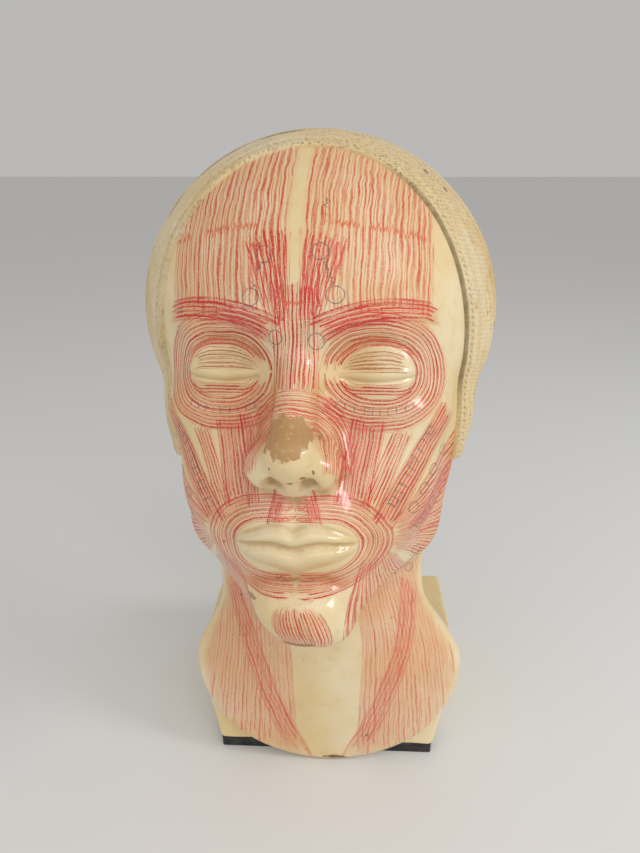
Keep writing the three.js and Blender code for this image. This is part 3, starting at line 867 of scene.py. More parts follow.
@dataclass
class MaskBody:
    """Face, skull and neck as one closed body: rings run over the front from rim to rim, and on behind."""

    form: MaskForm
    columns: int = 240
    rows: int = 336
    front_share: float = 0.62
    back_centre: float = -30.0
    back_columns: int = 24
    table_clearance: float = 1.0
    plate_clearance: float = 0.6

    # Where the rays of a row aim: front f, front z, side x, side z and starting level; then the share of rows
    AIMS = np.array(
        [
            (0, 118, 0, 118, 60, 3),
            (40, 110, 46, 106, 45, 4),
            (66, 85, 72, 82, 30, 6),
            (80, 52, 82, 52, 20, 9),
            (84, 20, 83, 20, 10, 10),
            (92, -12, 80, -8, 0, 11),
            (86, -42, 72, -34, -10, 12),
            (84, -72, 62, -56, -22, 7),
            (76, -95, 57, -74, -40, 4),
            (60, -98, 56, -80, -42, 3),
            (44, -92, 55, -86, -48, 3),
            (32, -88, 54, -92, -62, 2),
            (27.5, -96, 53.5, -97, -82, 2),
            (27, -106, 53, -105, -100, 4),
            (17, -128, 58, -128, -122, 5),
            (7, -156, 56, -150, -135, 3),
            (5, -170, 43, -168, -140, 3),
            (4, -180, 23, -180, -145, 3),
            (2, -184.5, 0, -184.5, -145, 0),
        ],
        dtype=float,
    )
    # The rounded edge behind the rim: how far inside the rim and how far behind its plane
    EDGE = np.array([(0.15, 1.4), (0.4, 4.0), (0.9, 6.2), (1.7, 7.4), (3.2, 8.0)])

    def rays(self) -> tuple[Array, Array]:
        """Origins and targets of all rays: each row fans out over a half ellipse between its aims.

        Returns:
            Two grids of places, rows by columns.
        """
        share = np.concatenate([[0], np.cumsum(self.AIMS[:-1, 5])])
        along = np.linspace(0, share[-1], self.rows + 2)[1:-1]
        front_f, front_z, side_x, side_z, level = (
            np.interp(along, share, self.AIMS[:, k])[:, None] for k in range(5)
        )
        s = np.linspace(-1, 1, self.columns + 1)[None]
        turn = math.pi / 2 * (self.front_share * s + (1 - self.front_share) * s**3)
        c, n = np.cos(turn), np.sin(turn)
        forward = front_f * np.where(np.abs(s) < 1, c, 0)
        targets = np.stack([side_x * n, forward, side_z + (front_z - side_z) * c * c], axis=-1)
        origins = np.zeros_like(targets)
        origins[..., 2] = level
        return origins, targets

    def edge_points(self, rim: Array) -> Array:
        """Rim places carried round the edge to the back: inwards along the rim plane and behind it.

        Args:
            rim: one rim place a row.

        Returns:
            Rows by edge steps.
        """
        away = np.stack([rim[:, 0], rim[:, 2] - self.back_centre], axis=-1)
        away /= np.linalg.norm(away, axis=-1, keepdims=True)
        inset, depth = self.EDGE[:, 0], self.EDGE[:, 1]
        x = rim[:, :1] - away[:, :1] * inset
        z = rim[:, 2:] - away[:, 1:] * inset
        return np.stack([x, np.broadcast_to(-depth, x.shape), z], axis=-1)

    def trimmed(self, places: Array) -> Array:
        """Places kept clear of the table and of the foot plate, by moving them up or forward.

        Args:
            places: places in the part's frame.

        Returns:
            The trimmed places.
        """
        low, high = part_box("foot_plate")
        x, y, z = np.moveaxis(places, -1, 0).copy()
        front = low[1] / MM - self.plate_clearance
        fade_from, fade_to = 4, 0.5
        over = ramp(high[2] / MM + fade_from, high[2] / MM + fade_to, z)
        y = np.where(y > front, y + (front - y) * over, y)
        return np.stack([x, y, np.maximum(z, self.table_clearance)], axis=-1)

    def build(self) -> tuple[Surface, dict[str, Array]]:
        """Casts the rays and closes the body behind the rim.

        Returns:
            The closed surface in the part's frame, and the values that its finish reads at the vertices.
        """
        front = skin_points(self.form.field, *self.rays())
        left, right = self.edge_points(front[:, 0]), self.edge_points(front[:, -1])
        t = np.linspace(0, 1, self.back_columns + 2)[None, 1:-1, None]
        back = right[:, -1:] + (left[:, -1:] - right[:, -1:]) * t
        rings = np.concatenate([front, right, back, left[:, ::-1]], axis=1)
        on_back = rings[..., 1] < 0.1 - self.EDGE[-1, 1]
        rings[..., 1] += np.where(on_back, 0.3 * ripple(rings, 38, 5) + 0.12 * ripple(rings, 11, 6), 0)
        starts = np.array([[0, 0, self.AIMS[0, 4]], [0, 0, self.AIMS[-1, 4]]])
        aims = np.array([[0, 0, self.form.crown_level], [0, 0, self.form.lip_level]])
        first, last = skin_points(self.form.field, starts, aims)
        placed = Surface(*(self.trimmed(self.form.place(part)) for part in (rings, first, last)))
        values = Drawing(self.form).values(Surface(rings, first, last).vertices())
        values["hollows"] = hollow_values(rings)
        return placed, values


# Worn places of the cap: angle up from the right, share from hem to rim, half sizes and strength
CAP_WEAR = (
    (108, 0.42, 6, 0.05, 0.8), (97, 0.41, 4.5, 0.06, 1.0), (119, 0.44, 3, 0.05, 0.7),
    (84, 0.44, 3, 0.02, 0.5), (49.5, 0.9, 1.2, 0.04, 0.6), (38.5, 0.93, 1.4, 0.03, 0.6),
    (10.5, 0.9, 1.8, 0.04, 0.5), (128, 0.6, 0.8, 0.03, 0.5), (70.5, 0.42, 0.7, 0.04, 1.0),
    (66, 0.47, 0.7, 0.04, 1.0), (68.2, 0.45, 1.6, 0.012, 0.6), (60, 0.7, 0.8, 0.03, 0.5),
    (140, 0.75, 1.6, 0.05, 0.5), (160, 0.7, 2.0, 0.05, 0.4), (107, 0.97, 5, 0.05, 0.5),
)


@dataclass(frozen=True)
class Bed:
    """The bare mask under the cap, in the mask's own frame: places in columns along the hem and rows down to
    the rim plane, with the distances along and down, and the share of the way down.
    """

    places: Array
    along: Array
    down: Array
    share: Array


@dataclass
class CapBand:
    """The cloth cap as a closed shell of its own: columns run along the hem, rows from the hem to the rim."""

    form: MaskForm
    opening_half_width: float = 68.0
    opening_base: float = -30.0
    opening_height: float = 129.0
    side_power: float = 2.1
    top_power: float = 2.6
    hem_height: float = 1.8
    rim_height: float = 3.5
    thickens_over: float = 35.0
    embed: float = 1.2
    core_depth: float = 9.0
    columns: int = 640
    rows: int = 120
    hem_edge: float = 1.3
    end_edge: float = 3.5
    thread_pitch: float = 1.9
    thread_height: float = 0.3
    stitch_inset: float = 4.6
    stitch_pitch: float = 3.0
    stitch_height: float = 0.45
    pleat_width: float = 7.5
    pleat_height: float = 0.5

    # The cloth turned over the back: how far inside the body's rim and how far behind its plane
    BACK_HEM = np.array([(1.5, 8.3), (3.6, 8.35), (4.0, 7.0), (4.4, 5.0)])

    def hem(self, angle: Array) -> tuple[Array, Array]:
        """The opening's outline: an oval whose side and top have powers of their own.

        Args:
            angle: angles from the right, up and over.

        Returns:
            Distances to the side, and up from the opening's base.
        """
        sideways = np.abs(np.cos(angle)) ** (2 / self.side_power) * np.sign(np.cos(angle))
        up = np.abs(np.sin(angle)) ** (2 / self.top_power)
        return self.opening_half_width * sideways, self.opening_height * up

    def even_angles(self) -> Array:
        """Angles that space the columns evenly along the hem, looked up in its running length.

        Returns:
            One angle a column.
        """
        fine = np.linspace(0, math.pi, 4001)
        x, up = self.hem(fine)
        run = np.concatenate([[0], np.cumsum(np.hypot(np.diff(x), np.diff(up)))])
        return np.interp(np.linspace(0, run[-1], self.columns + 1), run, fine)

    def bed(self) -> Bed:
        """Finds the hem on the mask, then follows the mask down to the rim plane.

        Returns:
            The band's bed.
        """
        inner, hem_depth, far = 0.8, 60, 120
        x, up = self.hem(self.even_angles())
        origin = np.stack([x * inner, 0 * x, self.opening_base + up * inner], axis=-1)
        target = np.stack([x, np.full_like(x, hem_depth), self.opening_base + up], axis=-1)
        hem = skin_points(self.form.field, origin, target)
        t = np.linspace(0, 1, self.rows + 1)[None]
        spread = 1 + ((far / np.hypot(x, up))[:, None] - 1) * t
        level = self.opening_base + up[:, None] * spread
        aims = np.stack([x[:, None] * spread, hem[:, 1:2] * (1 - t), level], axis=-1)
        starts = np.zeros_like(aims)
        starts[..., 2] = self.opening_base
        places = skin_points(self.form.field, starts, aims)
        down = lengths_along(places, 1)
        return Bed(places, lengths_along(places, 0), down, down / down.max(axis=1, keepdims=True))

    def height(self, bed: Bed) -> Array:
        """Height of the smooth cloth: from the hem's to the rim's over the last stretch, and rounded down
        into the mask along the hem and at the two ends.

        Args:
            bed: the mask under the cap.

        Returns:
            Height over the mask, below zero at the sunk edges.
        """
        thicker = 1 - ramp(0, self.thickens_over, bed.places[..., 1])
        full = self.hem_height + (self.rim_height - self.hem_height) * thicker
        end = np.minimum(bed.along, bed.along.max(axis=0, keepdims=True) - bed.along)
        shoulder = np.sqrt(1 - (1 - np.clip(bed.down / self.hem_edge, 0, 1)) ** 2)
        corner = np.sqrt(1 - (1 - np.clip(end / self.end_edge, 0, 1)) ** 2)
        return (full + self.embed) * shoulder * corner - self.embed

    def weave(self, bed: Bed) -> Array:
        """Relief of a coarse plain weave: two sets of rounded threads that take turns on top.

        Args:
            bed: the mask under the cap.

        Returns:
            Height from -1 to 1.
        """
        wander, flatness, middle, swing = 0.35, 0.6, 0.6, 0.4
        a = bed.along / self.thread_pitch + wander * ripple(bed.places, 30, 11)
        b = bed.down / self.thread_pitch + wander * ripple(bed.places, 26, 12)
        turn = np.cos(math.pi * a) * np.cos(math.pi * b)
        warp = np.abs(np.cos(math.pi * a)) ** flatness * (middle + swing * turn)
        weft = np.abs(np.cos(math.pi * b)) ** flatness * (middle - swing * turn)
        return 2 * np.maximum(warp, weft) - 1

    def pleats(self, bed: Bed) -> Array:
        """Soft pleats that run along the sides near the rim: waves across the band that fade upwards.

        Args:
            bed: the mask under the cap.

        Returns:
            Height to add.
        """
        low = 1 - ramp(60, 95, bed.places[..., 2])
        wave = np.sin(2 * math.pi * (bed.down / self.pleat_width + 0.5 * ripple(bed.places, 60, 14)))
        inside = ramp(0.35, 0.6, bed.share) * ramp(1.0, 0.9, bed.share)
        return self.pleat_height * wave * inside * low

    def stitches(self, bed: Bed) -> tuple[Array, Array]:
        """A row of stitches beside the hem: slanted beads along a shallow valley, with gaps between them.

        Args:
            bed: the mask under the cap.

        Returns:
            Height to add, and how much each place belongs to a gap.
        """
        slant, valley_depth = 0.5, 0.3
        slanted = bed.along + slant * (bed.down - self.stitch_inset)
        row = bell(bed.down, self.stitch_inset, 1.25)
        bead = 0.5 + 0.5 * np.cos(2 * math.pi * slanted / self.stitch_pitch)
        valley = -valley_depth * bell(bed.down, self.stitch_inset, 2.4)
        return row * bead**0.7 * self.stitch_height + valley, row * ramp(0.42, 0.08, bead)

    def stains_and_shadow(self, bed: Bed, weave: Array, gaps: Array) -> dict[str, Array]:
        """Where the band is stained: ochre towards the rim on the sides, speckled weave, clean stitches at
        the top, and the worn places; a painted shadow line runs along the hem, on the right and fainter on
        the left.

        Args:
            bed: the mask under the cap.
            weave: relief of the threads.
            gaps: how much each place belongs to a gap between stitches.

        Returns:
            Grids of values by name.
        """
        angle = np.degrees(np.arctan2(bed.places[..., 2] - self.opening_base, bed.places[..., 0]))
        top = bell(angle, 84, 22)
        sides = 1 - bell(angle, 90, 38)
        ochre = np.clip(0.35 + ramp(0.3, 0.95, bed.share) * (0.35 + 0.6 * sides), 0, 1)
        # Painted shadow: a thin line along the hem, where the cloth meets the face, strong on the right and
        # faint on the left.
        right = ramp(18, 34, angle) * ramp(80, 62, angle)
        left = 0.2 * ramp(108, 122, angle) * ramp(172, 150, angle)
        hem = ramp(1.6, 0.7, bed.down) * np.clip(0.12 + right + left, 0, 1)
        speckled = np.clip(0.25 + 0.75 * top + 0.2 * ripple(bed.places, 24, 17), 0, 1)
        away, strength = nearest_spot(angle.ravel(), bed.share.ravel(), np.array(CAP_WEAR))
        return {
            "cloth_marks": np.stack([bed.along, bed.down, weave], axis=-1),
            "cloth_stain_and_shadow": np.stack([ochre, hem, speckled], axis=-1),
            "stitch_gaps": gaps * (1 - 0.8 * top),
            "wear_away": away.reshape(angle.shape),
            "wear_strength": strength.reshape(angle.shape),
        }

    def turned_over(self, edge: Array, height: Array) -> Array:
        """The cloth carried round the rim's edge, towards the opening's middle, and a little over the back.

        Args:
            edge: the cloth's places on the rim plane, one a column.
            height: the cloth's height there.

        Returns:
            Places, columns by steps.
        """
        away = edge - [0, 0, self.opening_base]
        away /= np.linalg.norm(away, axis=-1, keepdims=True)
        steps = np.concatenate([MaskBody.EDGE, self.BACK_HEM + [self.rim_height, 0]])
        inset, depth = steps[None, :, :1], steps[None, :, 1]
        wall = edge[:, None] - away[:, None] * inset
        raised = np.clip(height[:, None] / self.rim_height, 0, 1)
        wall[..., 1] = -depth + 2 * (1 - raised) * ramp(5, 8, depth)
        return wall

    def build(self) -> tuple[Surface, dict[str, Array]]:
        """Raises the cloth from its bed and closes the shell behind the rim and under the cloth. Behind the
        rim the wear fades, and the weave counts as raised, so that no dirt lies in it.

        Returns:
            The closed surface in the part's frame, and the values that its finish reads at the vertices.
        """
        bed = self.bed()
        normal = grid_normals(bed.places)
        normal *= np.sign((normal * (bed.places - [0, 0, self.opening_base])).sum(-1, keepdims=True))
        height = self.height(bed)
        sunk = ramp(0.2, 1.2, height)
        weave = self.weave(bed)
        worn = self.thread_height * (0.65 + 0.35 * ripple(bed.places, 22, 13))
        beads, gaps = self.stitches(bed)
        height = height + (weave * worn + self.pleats(bed) + beads) * sunk
        cloth = bed.places + normal * height[..., None]
        cloth[:, -1, 1] = 0
        core = bed.places - normal * self.core_depth
        depths = np.array([1.0, 0.6, 0.25, 0.0])[None, :, None]
        underside = core[:, -1:] + (core[:, :1] - core[:, -1:]) * (1 - depths)
        rings = np.concatenate([cloth, self.turned_over(cloth[:, -1], height[:, -1]), underside], axis=1)
        ends = bed.places[0].mean(axis=0), bed.places[-1].mean(axis=0)
        shell = Surface(*(self.form.place(part) for part in (rings, *ends)))
        values = {"hollows": hollow_values(rings)}
        for name, grid in self.stains_and_shadow(bed, weave, gaps).items():
            pad = ((0, 0), (0, rings.shape[1] - grid.shape[1])) + ((0, 0),) * (grid.ndim - 2)
            flat = np.pad(grid, pad, mode="edge").reshape(-1, *grid.shape[2:])
            values[name] = np.concatenate([flat[:1], flat, flat[-1:]])
        ahead = ramp(-3, 0, np.concatenate([[0], rings[..., 1].ravel(), [0]]))
        values["wear_strength"] *= ahead
        values["cloth_marks"][:, 2] += 1 - ahead
        return shell, values


def rounded_outline(half_x: float, half_y: float, radius: float, side: int = 26, corner: int = 7) -> Array:
    """A rectangle with round corners: quarter circles joined by straight sides.

    Args:
        half_x: half the width.
        half_y: half the depth.
        radius: corner radius.
        side: places along a straight side.
        corner: places round a corner.

    Returns:
        Places (x, y), anticlockwise.
    """
    arcs = []
    for k, (sign_x, sign_y) in enumerate(((1, 1), (-1, 1), (-1, -1), (1, -1))):
        middle = np.array([(half_x - radius) * sign_x, (half_y - radius) * sign_y])
        angle = math.pi / 2 * (k + np.linspace(0, 1, corner))
        arcs.append(middle + radius * np.stack([np.cos(angle), np.sin(angle)], axis=-1))
    t = np.linspace(0, 1, side + 1)[:-1, None]
    pieces = []
    for arc, following in zip(arcs, arcs[1:] + arcs[:1]):
        pieces += [arc[:-1], arc[-1] + (following[0] - arc[-1]) * t]
    return np.concatenate(pieces)


@dataclass
class Slab:
    """A block with rounded edges whose sides may flare and whose front may lean: rings from base to top."""

    name: str
    node: str
    low: tuple[float, float, float]
    high: tuple[float, float, float]
    flare: float = 0.0
    lean: float = 0.0
    edge: float = 1.0
    corner: float = 1.5
    unevenness: float = 0.0
    levels: int = 22
    edge_levels: int = 6
    face_rings: int = 9

    def profile(self) -> Array:
        """Inset and height from the middle of the base to the middle of the top, rounded at both edges.

        Returns:
            Rows of inset and height.
        """
        height = self.high[2] - self.low[2]
        turn = np.linspace(0, math.pi / 2, self.edge_levels)
        base = np.stack([self.edge * (1 - np.sin(turn)), self.edge * (1 - np.cos(turn))], axis=-1)
        side = np.stack([np.zeros(self.levels), np.linspace(self.edge, height - self.edge, self.levels)], -1)
        top = np.stack([base[::-1, 0], height - base[::-1, 1]], axis=-1)
        reach = min(self.high[0] - self.low[0], self.high[1] - self.low[1]) / 2
        inward = np.linspace(reach - 1, self.edge + 1, self.face_rings)
        under = np.stack([inward, np.zeros_like(inward)], axis=-1)
        over = np.stack([inward[::-1], np.full_like(inward, height)], axis=-1)
        return np.concatenate([under, base, side[1:-1], top, over])

    def build(self) -> Surface:
        """Carries a rounded rectangle up the profile; each side is offset for the flare and the lean.

        Returns:
            The closed surface in the part's frame.
        """
        centre = (np.array(self.low) + np.array(self.high)) / 2
        half = (np.array(self.high) - np.array(self.low)) / 2
        rings = []
        for inset, height in self.profile():
            radius = max(self.corner - inset, 0.2)
            outline = rounded_outline(half[0] - inset, half[1] - inset, radius)
            x = outline[:, 0] * (1 + self.flare * height / half[0])
            toward_front = (half[1] - outline[:, 1]) / (2 * half[1])
            y = outline[:, 1] + self.lean * height * toward_front
            rings.append(np.stack([x + centre[0], y + centre[1], np.full_like(x, self.low[2] + height)], -1))
        rings = np.stack(rings)
        if self.unevenness:
            rings += self.unevenness * ripple(rings, 17, 21)[..., None] * [1, 1, 0]
        return Surface(rings, rings[0].mean(axis=0), rings[-1].mean(axis=0))


class Colour(Enum):
    """The object's colours, as they look on screen (red, green, blue up to 255)."""

    CREAM = (230, 205, 153)
    PALE_CREAM = (238, 223, 188)
    YELLOWED = (214, 180, 112)
    OCHRE = (188, 150, 90)
    OLIVE = (128, 112, 74)
    BROWN = (112, 74, 40)
    BARE_TAN = (190, 146, 92)
    DARK_SPECK = (92, 74, 52)
    RED = (216, 44, 42)
    DEEP_RED = (192, 26, 26)
    ROSE = (212, 84, 62)
    ORANGE = (214, 92, 44)
    BROWN_PENCIL = (176, 108, 56)
    GREY_PENCIL = (88, 82, 84)
    BLACK = (20, 20, 22)
    DUST = (120, 116, 108)
    PALE_FLOOR = (230, 230, 228)

    @property
    def light(self) -> tuple[float, float, float, float]:
        """The colour as linear light with full opacity, by the usual curve of screens."""
        channel = [v / 255 for v in self.value]
        return (*(v / 12.92 if v <= 0.04045 else ((v + 0.055) / 1.055) ** 2.4 for v in channel), 1.0)


Socket = bpy.types.NodeSocket
Source = Union[Socket, Colour, float]


class Nodes:
    """Short ways to add and link the nodes of one material, whose places are the object's own coordinates."""

    def __init__(self, name: str) -> None:
        """Starts a material and keeps its shader.

        Args:
            name: the material's name.
        """
        self.material = bpy.data.materials.new(name)
        self.material.use_nodes = True
        self.tree = self.material.node_tree
        self.shader = self.tree.nodes["Principled BSDF"]
        self.place = self.add("ShaderNodeTexCoord").outputs["Object"]

    def add(self, kind: str, **settings: object) -> bpy.types.ShaderNode:
        """Adds a node and sets its properties.

        Args:
            kind: the node's type.
            **settings: its properties.

        Returns:
            The node.
        """
        node = self.tree.nodes.new(kind)
        for key, value in settings.items():
            setattr(node, key, value)
        return node

    def feed(self, socket: Socket, source: Source) -> None:
        """Links an output to an input, or sets the input's own value.

        Args:
            socket: the input.
            source: an output, a colour or a number.
        """
        if isinstance(source, Socket):
            self.tree.links.new(source, socket)
        else:
            socket.default_value = source.light if isinstance(source, Colour) else source

    def fed(self, node: bpy.types.ShaderNode, *sources: Source) -> bpy.types.ShaderNode:
        """Feeds a node's inputs in their order.

        Args:
            node: the node.
            *sources: what goes into its first inputs.

        Returns:
            The node.
        """
        for socket, source in zip(node.inputs, sources):
            self.feed(socket, source)
        return node

    def math(self, operation: str, *sources: Source) -> Socket:
        """One Math node of an operation's name and its inputs."""
        return self.fed(self.add("ShaderNodeMath", operation=operation), *sources).outputs[0]

    def product(self, *factors: Source) -> Socket:
        """All factors multiplied."""
        return reduce(partial(self.math, "MULTIPLY"), factors)

    def total(self, *terms: Source) -> Socket:
        """All terms added."""
        return reduce(partial(self.math, "ADD"), terms)

    def scaled(self, source: Source, factor: Source, offset: Source = 0.0) -> Socket:
        """The source times a factor plus an offset."""
        return self.math("MULTIPLY_ADD", source, factor, offset)

    def step(self, source: Source, low: Source, high: Source) -> Socket:
        """Soft step from 0 at low to 1 at high; with low above high it falls."""
        node = self.add("ShaderNodeMapRange", interpolation_type="SMOOTHSTEP")
        return self.fed(node, source, low, high).outputs[0]

    def vector(self, *parts: Source) -> Socket:
        """A vector of up to three parts."""
        return self.fed(self.add("ShaderNodeCombineXYZ"), *parts).outputs[0]

    def parts(self, vector: Socket) -> list[Socket]:
        """The three parts of a vector or colour."""
        return list(self.fed(self.add("ShaderNodeSeparateXYZ"), vector).outputs)

    def noise_node(self, size: float, detail: float, place: Socket | None = None) -> bpy.types.ShaderNode:
        """A smooth noise texture.

        Args:
            size: size of its lumps in millimetres, or in the units of the place.
            detail: how many finer noises are added.
            place: a vector to read instead of the object's coordinates.

        Returns:
            The node.
        """
        node = self.add("ShaderNodeTexNoise")
        self.feed(node.inputs["Vector"], place or self.place)
        node.inputs["Scale"].default_value = 1 / size if place else 1 / (size * MM)
        node.inputs["Detail"].default_value = detail
        return node

    def noise(self, size: float, detail: float = 2.0, place: Socket | None = None) -> Socket:
        """Smooth noise from 0 to 1."""
        return self.noise_node(size, detail, place).outputs["Fac"]

    def noises(self, size: float, detail: float = 2.0) -> list[Socket]:
        """Three smooth noises of one size from one node."""
        return self.parts(self.noise_node(size, detail).outputs["Color"])

    def chance(self, *parts: Source) -> list[Socket]:
        """Three random values from 0 to 1 that depend on the parts alone.

        Args:
            *parts: up to three numbers that fix the values.

        Returns:
            The values.
        """
        node = self.add("ShaderNodeTexWhiteNoise", noise_dimensions="3D")
        self.feed(node.inputs["Vector"], self.vector(*parts))
        return self.parts(node.outputs["Color"])

    def specks(self, size: float, share: float, radius: float) -> Socket:
        """Scattered soft dots: one in each cell of a size, in a share of the cells, of a radius in cells.

        Args:
            size: size of the cells in millimetres.
            share: share of the cells that have a dot, from 0 to 1.
            radius: a dot's largest radius, counted in cells.

        Returns:
            1 in a dot and 0 outside.
        """
        node = self.add("ShaderNodeTexVoronoi")
        self.feed(node.inputs["Vector"], self.place)
        node.inputs["Scale"].default_value = 1 / (size * MM)
        pick, grow, _ = self.parts(node.outputs["Color"])
        grown = self.scaled(grow, radius * 0.7, radius * 0.3)
        reach = self.product(self.step(pick, share, share * 0.97), grown)
        return self.step(node.outputs["Distance"], reach, self.product(reach, 0.45))

    def attribute(self, name: str, output: str = "Fac") -> Socket:
        """The mesh's number of a name, or with output Vector its vector."""
        return self.add("ShaderNodeAttribute", attribute_name=name).outputs[output]

    def over(self, base: Source, colour: Source, share: Source) -> Socket:
        """A colour laid over another by a share from 0 to 1.

        Args:
            base: the colour below.
            colour: the colour on top.
            share: how much of it shows.

        Returns:
            The mixed colour.
        """
        node = self.add("ShaderNodeMix", data_type="RGBA", clamp_factor=True)
        for number, source in ((0, share), (6, base), (7, colour)):
            self.feed(node.inputs[number], source)
        return node.outputs[2]

    def bump(self, height: Socket) -> None:
        """Relief of the shader and of its coat.

        Args:
            height: the height in millimetres.
        """
        node = self.add("ShaderNodeBump")
        self.feed(node.inputs["Height"], height)
        node.inputs["Distance"].default_value = MM
        node.inputs["Strength"].default_value = 1.0
        self.set(Normal=node.outputs["Normal"], Coat_Normal=node.outputs["Normal"])

    def set(self, **values: Source) -> None:
        """Links or values of the shader's own sockets; an underscore stands for a space."""
        for key, value in values.items():
            self.feed(self.shader.inputs[key.replace("_", " ")], value)


@dataclass(frozen=True)
class Plaster:
    """Aged cream plaster under varnish: mottled, ochre in hollows, partly yellowing and partly painted shade,
    with pits, specks and soft lumps.
    """

    name: str
    pale: Colour = Colour.PALE_CREAM
    ground: Colour = Colour.CREAM
    aged: Colour = Colour.YELLOWED
    # How strong the ochre in the hollows is: partly dirt and yellowing, partly painted shade.
    dirt_and_shade: float = 0.35
    coat: float = 0.55
    coat_roughness: float = 0.12
    roughness: float = 0.42
    patch_size: float = 38.0
    mottle_size: float = 5.0
    speck_spacing: float = 5.5
    lump_size: float = 7.0
    lump_height: float = 0.16
    skin_size: float = 0.9
    skin_height: float = 0.022
    pit_spacing: float = 6.5
    pit_depth: float = 0.08
    gloss_size: float = 14.0
    gloss_swing: float = 0.3

    def colour(self, nodes: Nodes) -> Socket:
        """Ground colour: pale and yellowed patches of two sizes, then ochre in the hollows (partly yellowing,
        partly painted shade) and specks.

        Args:
            nodes: the material's nodes.

        Returns:
            The colour.
        """
        broad, middle, _ = nodes.noises(self.patch_size, 3)
        mottle = nodes.noise(self.mottle_size, 4)
        colour = nodes.over(self.ground, self.pale, nodes.product(nodes.step(broad, 0.42, 0.66), 0.7))
        aged = nodes.total(nodes.step(middle, 0.45, 0.72), nodes.step(mottle, 0.5, 0.75))
        colour = nodes.over(colour, self.aged, nodes.product(aged, 0.28))
        # Painted shade: ochre darkens creases and recesses, on top of real yellowing in them.
        hollow, broad_hollow, _ = nodes.parts(nodes.attribute("hollows", "Vector"))
        broad_recess = nodes.product(nodes.step(broad_hollow, 0.1, 1.0), 0.5)
        recess = nodes.total(nodes.step(hollow, 0.08, 0.9), broad_recess)
        recess = nodes.product(recess, nodes.scaled(mottle, 1.1, 0.25), self.dirt_and_shade * 1.7)
        colour = nodes.over(colour, Colour.OCHRE, recess)
        specks = nodes.specks(self.speck_spacing, 0.3, 0.07)
        specks = nodes.product(specks, nodes.scaled(mottle, 1.2, -0.1))
        return nodes.over(colour, Colour.DARK_SPECK, specks)

    def relief(self, nodes: Nodes) -> Socket:
        """Relief in millimetres: soft lumps, the varnish's fine skin and shallow pits.

        Args:
            nodes: the material's nodes.

        Returns:
            The height.
        """
        lumps = nodes.scaled(nodes.noise(self.lump_size), self.lump_height)
        skin = nodes.scaled(nodes.noise(self.skin_size), self.skin_height)
        pits = nodes.product(nodes.specks(self.pit_spacing, 0.25, 0.08), -self.pit_depth)
        return nodes.total(lumps, skin, pits)

    def gloss(self, nodes: Nodes) -> Socket:
        """Roughness that wanders with the varnish's thickness."""
        lowest = self.roughness - self.gloss_swing / 2
        return nodes.scaled(nodes.noise(self.gloss_size, 4), self.gloss_swing, lowest)

    def varnish(self, nodes: Nodes) -> Source:
        """How much varnish lies on the plaster."""
        return self.coat

    def build(self) -> bpy.types.Material:
        """Dresses the shader in colour, gloss, varnish and relief.

        Returns:
            The finished material.
        """
        nodes = Nodes(self.name)
        nodes.set(
            Base_Color=self.colour(nodes),
            Roughness=self.gloss(nodes),
            Coat_Weight=self.varnish(nodes),
            Coat_Roughness=self.coat_roughness,
            Coat_IOR=1.5,
        )
        nodes.bump(self.relief(nodes))
        return nodes.material


